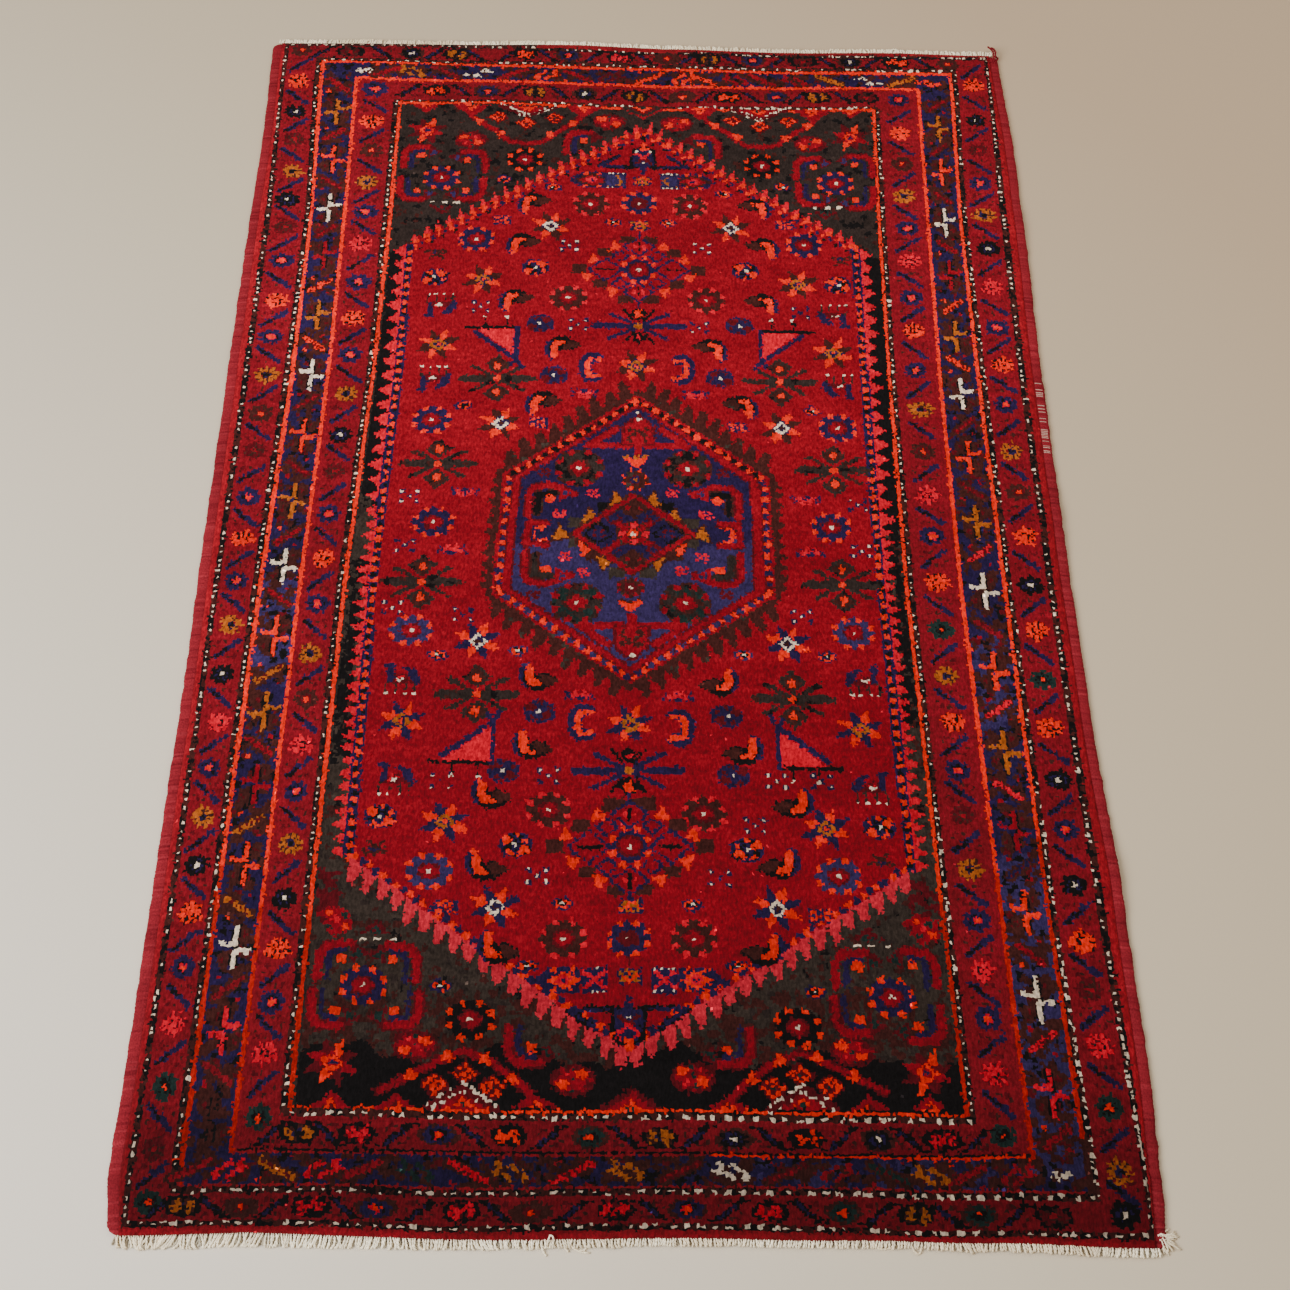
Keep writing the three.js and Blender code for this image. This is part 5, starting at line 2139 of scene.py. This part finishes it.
def layer(outward, reaches, leans, root_height, tip_height, unevenness, radius, tone=1.18):
    """One layer of cords along a short end, from inside the woven edge out to their cut tips."""
    left, right = line_places(outward * RUG_LENGTH / 2)[[0, -1]]
    count = round((right - left + 6) / CORD_PITCH)
    root_x = np.linspace(left - 3, right + 3, count) + scatter.normal(0, 0.35, count)
    group = np.arange(0, count + 12, 7)
    bunch = np.interp(np.arange(count), group, scatter.normal(0, 1, len(group)))
    reach = np.interp(root_x, REACH_STATIONS, reaches)
    reach = reach + unevenness * (0.6 * bunch + 0.6 * scatter.normal(0, 1, count))
    lean = np.interp(root_x, REACH_STATIONS, leans) + 0.26 * bunch + scatter.normal(0, 0.24, count)
    share = np.linspace(0, 1, CORD_STEPS)
    bow = scatter.normal(0, 0.12, count)
    paths = np.empty((count, CORD_STEPS, 3))
    aside = lean[:, None] * share + bow[:, None] * np.sin(share * math.pi)
    onward = -1.0 + (reach + 1)[:, None] * np.sin(share * 1.45)
    paths[..., 0] = root_x[:, None] + reach[:, None] * aside
    paths[..., 1] = end_at(root_x, outward)[:, None] + outward * onward
    top = np.interp(root_x, (-650, -350, -200, 650), root_height) + scatter.normal(0, 0.5, count)
    top = top + lift(root_x, end_at(root_x, outward))
    low = tip_height + np.abs(scatter.normal(0, 0.4, count))
    paths[..., 2] = low[:, None] + (top - low)[:, None] * np.cos(share * math.pi / 2) ** 0.8
    thickness = radius * np.array([0.9, 1, 1.05, 1.1, 1.1, 1.05, 0.8])
    points, faces, each = twisted(paths, thickness[None, :])
    tones = np.tile(np.repeat(scatter.normal(tone, 0.09, count), each), 2)
    return points, faces, tones


def loose_thread(stations, radius, steps=9, tone=0.95):
    """One twisted thread through a few stations."""
    points, faces, each = twisted(bent(stations, steps), np.full((1, steps), radius))
    return points, faces, np.full(len(faces), tone)


NEAR_THREADS = (  # threads that hang over the edge or curl, and one that stands up over the pile
    ((-119, -1055, 5), (-118, -1062, 4), (-116, -1067, 2), (-112, -1072, 1)),
    ((-111, -1060, 6), (-109.5, -1054, 12), (-108, -1050, 14), (-105, -1050.5, 14.5), (-103, -1055, 12.5)),
    ((-87, -1055, 5), (-83, -1060, 4), (-77, -1064, 2), (-70, -1067, 1.3), (-59, -1068, 1.2)),
    ((-84, -1056, 5), (-80, -1062, 3), (-74, -1065, 1.5), (-66, -1065, 1.3), (-62, -1061, 2)),
    ((-90, -1056, 5), (-89, -1063, 3), (-85, -1067, 1.3)),
    ((338, -1057, 5), (341, -1065, 3), (346, -1069, 1.5), (350, -1066, 2.5), (349, -1061, 3)),
    ((292, -1056, 5), (296, -1062, 2.5), (306, -1063, 1.5), (314, -1060, 1.5)),
)
TUFT_THREADS = 32
tuft = []
for n in range(TUFT_THREADS):
    spread = n / (TUFT_THREADS - 1)
    reach = scatter.uniform(11, 21)
    turn = math.radians(-85 + 125 * spread + scatter.normal(0, 9))
    root = (scatter.uniform(645, 655), scatter.uniform(-1056, -1044), scatter.uniform(3, 8))
    bend = scatter.uniform(-5, 5)
    half_way = (root[0] + math.cos(turn) * reach * 0.55, root[1] + math.sin(turn) * reach * 0.55, 4.5)
    end = (root[0] + math.cos(turn) * reach - bend, root[1] + math.sin(turn) * reach + bend, 1.2)
    tuft.append((root, half_way, end))

near_parts = [
    layer(-1, NEAR_REACH, NEAR_LEAN, (4.8, 4.8, 6.4, 6.4), 1.7, 1.1, CORD_RADIUS),
    # The lower layer has a tone of 0.55: painted shade under the upper layer of cords.
    layer(-1, NEAR_REACH - 2, NEAR_LEAN, (2.4, 2.4, 3.2, 3.2), 1.3, 1.0, CORD_RADIUS * 0.8, tone=0.55),
    *(loose_thread(stations, 1.3, tone=1.25) for stations in NEAR_THREADS),
    *(loose_thread(stations, 1.2, steps=6, tone=1.25) for stations in tuft),
]
far_parts = [layer(1, FAR_REACH, FAR_LEAN, (7.5, 7.5, 7.5, 7.5), 4.4, 1.5, CORD_RADIUS * 1.15, tone=1.3)]
for end, parts in (("near", near_parts), ("far", far_parts)):
    points, faces, tones = joined(parts)
    warp_ends = make_piece(
        f"warp_ends_{end}", in_metres(*points.T), faces, cotton_warp, tone=tones
    )

# %% [markdown]
# At the far right corner the end of the overcasting wool has come undone and stands off as a small curl.

# %% Loose end of the overcasting wool
curls = (
    ((644, 1040, 7), (648, 1049, 12), (648, 1060, 13), (645, 1070, 11), (641, 1077, 9)),
    ((646, 1038, 7), (651, 1047, 12), (652, 1058, 14), (650, 1067, 13), (646, 1074, 10)),
    ((648, 1036, 6), (653, 1043, 8), (657, 1050, 6), (655, 1058, 3)),
)
points, faces, tones = joined([loose_thread(stations, 2.0) for stations in curls])
loose_end = make_piece(
    "loose_end_of_wool",
    in_metres(*points.T),
    faces,
    selvedge_wool,
    yarn=0 * tones,
    tone=tones,
)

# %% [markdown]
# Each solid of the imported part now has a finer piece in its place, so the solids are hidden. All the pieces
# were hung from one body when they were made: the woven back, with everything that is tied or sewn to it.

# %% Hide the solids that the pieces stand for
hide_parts("knotted_carpet")
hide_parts("selvedge_left")
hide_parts("selvedge_right")
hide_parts("fringe_near")
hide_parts("fringe_far")

# %% [markdown]
# The rug lies on a plain pale floor. The floor is a stage, so it isn't part of the model. Its colour is a
# cool white near the left and turns a little warmer and darker towards the far right: painted light,
# brightest near the window light at the left and falling off away from it.

# %% Floor
floor_material, tree, shader = new_material("pale_floor")
where = node(tree, "TexCoord")
TOWARDS_FAR_RIGHT = (0.3125, 0.25, 0.0)
places = where.outputs["Object"]
towards = node(tree, "VectorMath", {0: places, 1: TOWARDS_FAR_RIGHT}, operation="DOT_PRODUCT")
placed = node(tree, "MapRange", {0: towards.outputs["Value"], 1: -0.5, 2: 0.5})
# This ramp paints the window light's fall-off across the floor.
painted_light_ramp = node(tree, "ValToRGB", {0: placed.outputs[0]})
for n, (position, colour) in enumerate(((0.0, "#E8DFD0"), (0.5, "#D9C9AE"), (1.0, "#CFB799"))):
    step = painted_light_ramp.color_ramp.elements[n] if n < 2 else painted_light_ramp.color_ramp.elements.new(0.9)
    step.position = position
    step.color = linear(colour)
tree.links.new(painted_light_ramp.outputs[0], shader.inputs["Base Color"])
shader.inputs["Roughness"].default_value = 0.9
bpy.ops.mesh.primitive_plane_add(size=14.0, location=(0, 0, -0.0004))
floor = bpy.context.object
floor.name = "floor"
floor.data.materials.append(floor_material)
print("floor:", tuple(floor.dimensions))

# %% [markdown]
# The camera stands 1.6 m in front of the rug's middle and 2.4 m above it, and looks down at 59 degrees.
# Its place, its turns and its focal length were fitted to the rug's four corners in the photograph.

# %% Camera
YAW = math.radians(2.58)
PITCH = math.radians(59.0)
ROLL = math.radians(2.78)
FOCAL_PIXELS = 1881.0
FRAME_PIXELS = 1290.0
SENSOR = 36.0
from mathutils import Matrix, Vector

forward = Vector((math.sin(YAW) * math.cos(PITCH), math.cos(YAW) * math.cos(PITCH), -math.sin(PITCH)))
level_right = Vector((math.cos(YAW), -math.sin(YAW), 0.0))
level_up = level_right.cross(forward)
right = level_right * math.cos(ROLL) + level_up * math.sin(ROLL)
up = level_up * math.cos(ROLL) - level_right * math.sin(ROLL)
camera_data = bpy.data.cameras.new("camera")
camera_data.sensor_width = SENSOR
camera_data.lens = FOCAL_PIXELS / FRAME_PIXELS * SENSOR
camera = bpy.data.objects.new("camera", camera_data)
bpy.context.scene.collection.objects.link(camera)
turn = Matrix((right, up, -forward)).transposed().to_4x4()
CAMERA_PLACE = (-0.052, -1.617, 2.359)  # from the middle of the tables, above the pile
stand = Vector(CAMERA_PLACE) + Vector((SHIFT_X, SHIFT_Y, PILE_TOP)) * MM
camera.matrix_world = Matrix.Translation(stand) @ turn
bpy.context.scene.camera = camera
print("camera at", tuple(round(v, 3) for v in stand), "lens", round(camera_data.lens, 2))

# %% [markdown]
# A large soft light stands at the left like a window, and a weaker, warmer one fills in from the far
# right. Large lights give the soft, short shadows that a flat rug has indoors.

# %% Soft studio light
def soft_light(name, place, aim, size, power, colour):
    """A square area light that stands at a place and faces another."""
    lamp = bpy.data.lights.new(name, "AREA")
    lamp.shape = "SQUARE"
    lamp.size = size
    lamp.energy = power
    lamp.color = colour
    made = bpy.data.objects.new(name, lamp)
    made.location = place
    made.rotation_euler = (Vector(aim) - Vector(place)).to_track_quat("-Z", "Y").to_euler()
    bpy.context.scene.collection.objects.link(made)


soft_light("window_light", (-2.5, -1.7, 2.6), (-0.3, -0.3, 0), 2.4, 185, (0.98, 0.99, 1.0))
soft_light("fill_light", (1.4, 1.2, 3.4), (0, 0, 0), 3.0, 45, (1.0, 0.9, 0.76))
world = bpy.data.worlds.new("room")
bpy.context.scene.world = world
world.use_nodes = True
world.node_tree.nodes["Background"].inputs[0].default_value = (1.0, 0.94, 0.86, 1)
world.node_tree.nodes["Background"].inputs[1].default_value = 0.4
print("lights:", len(bpy.data.lights))
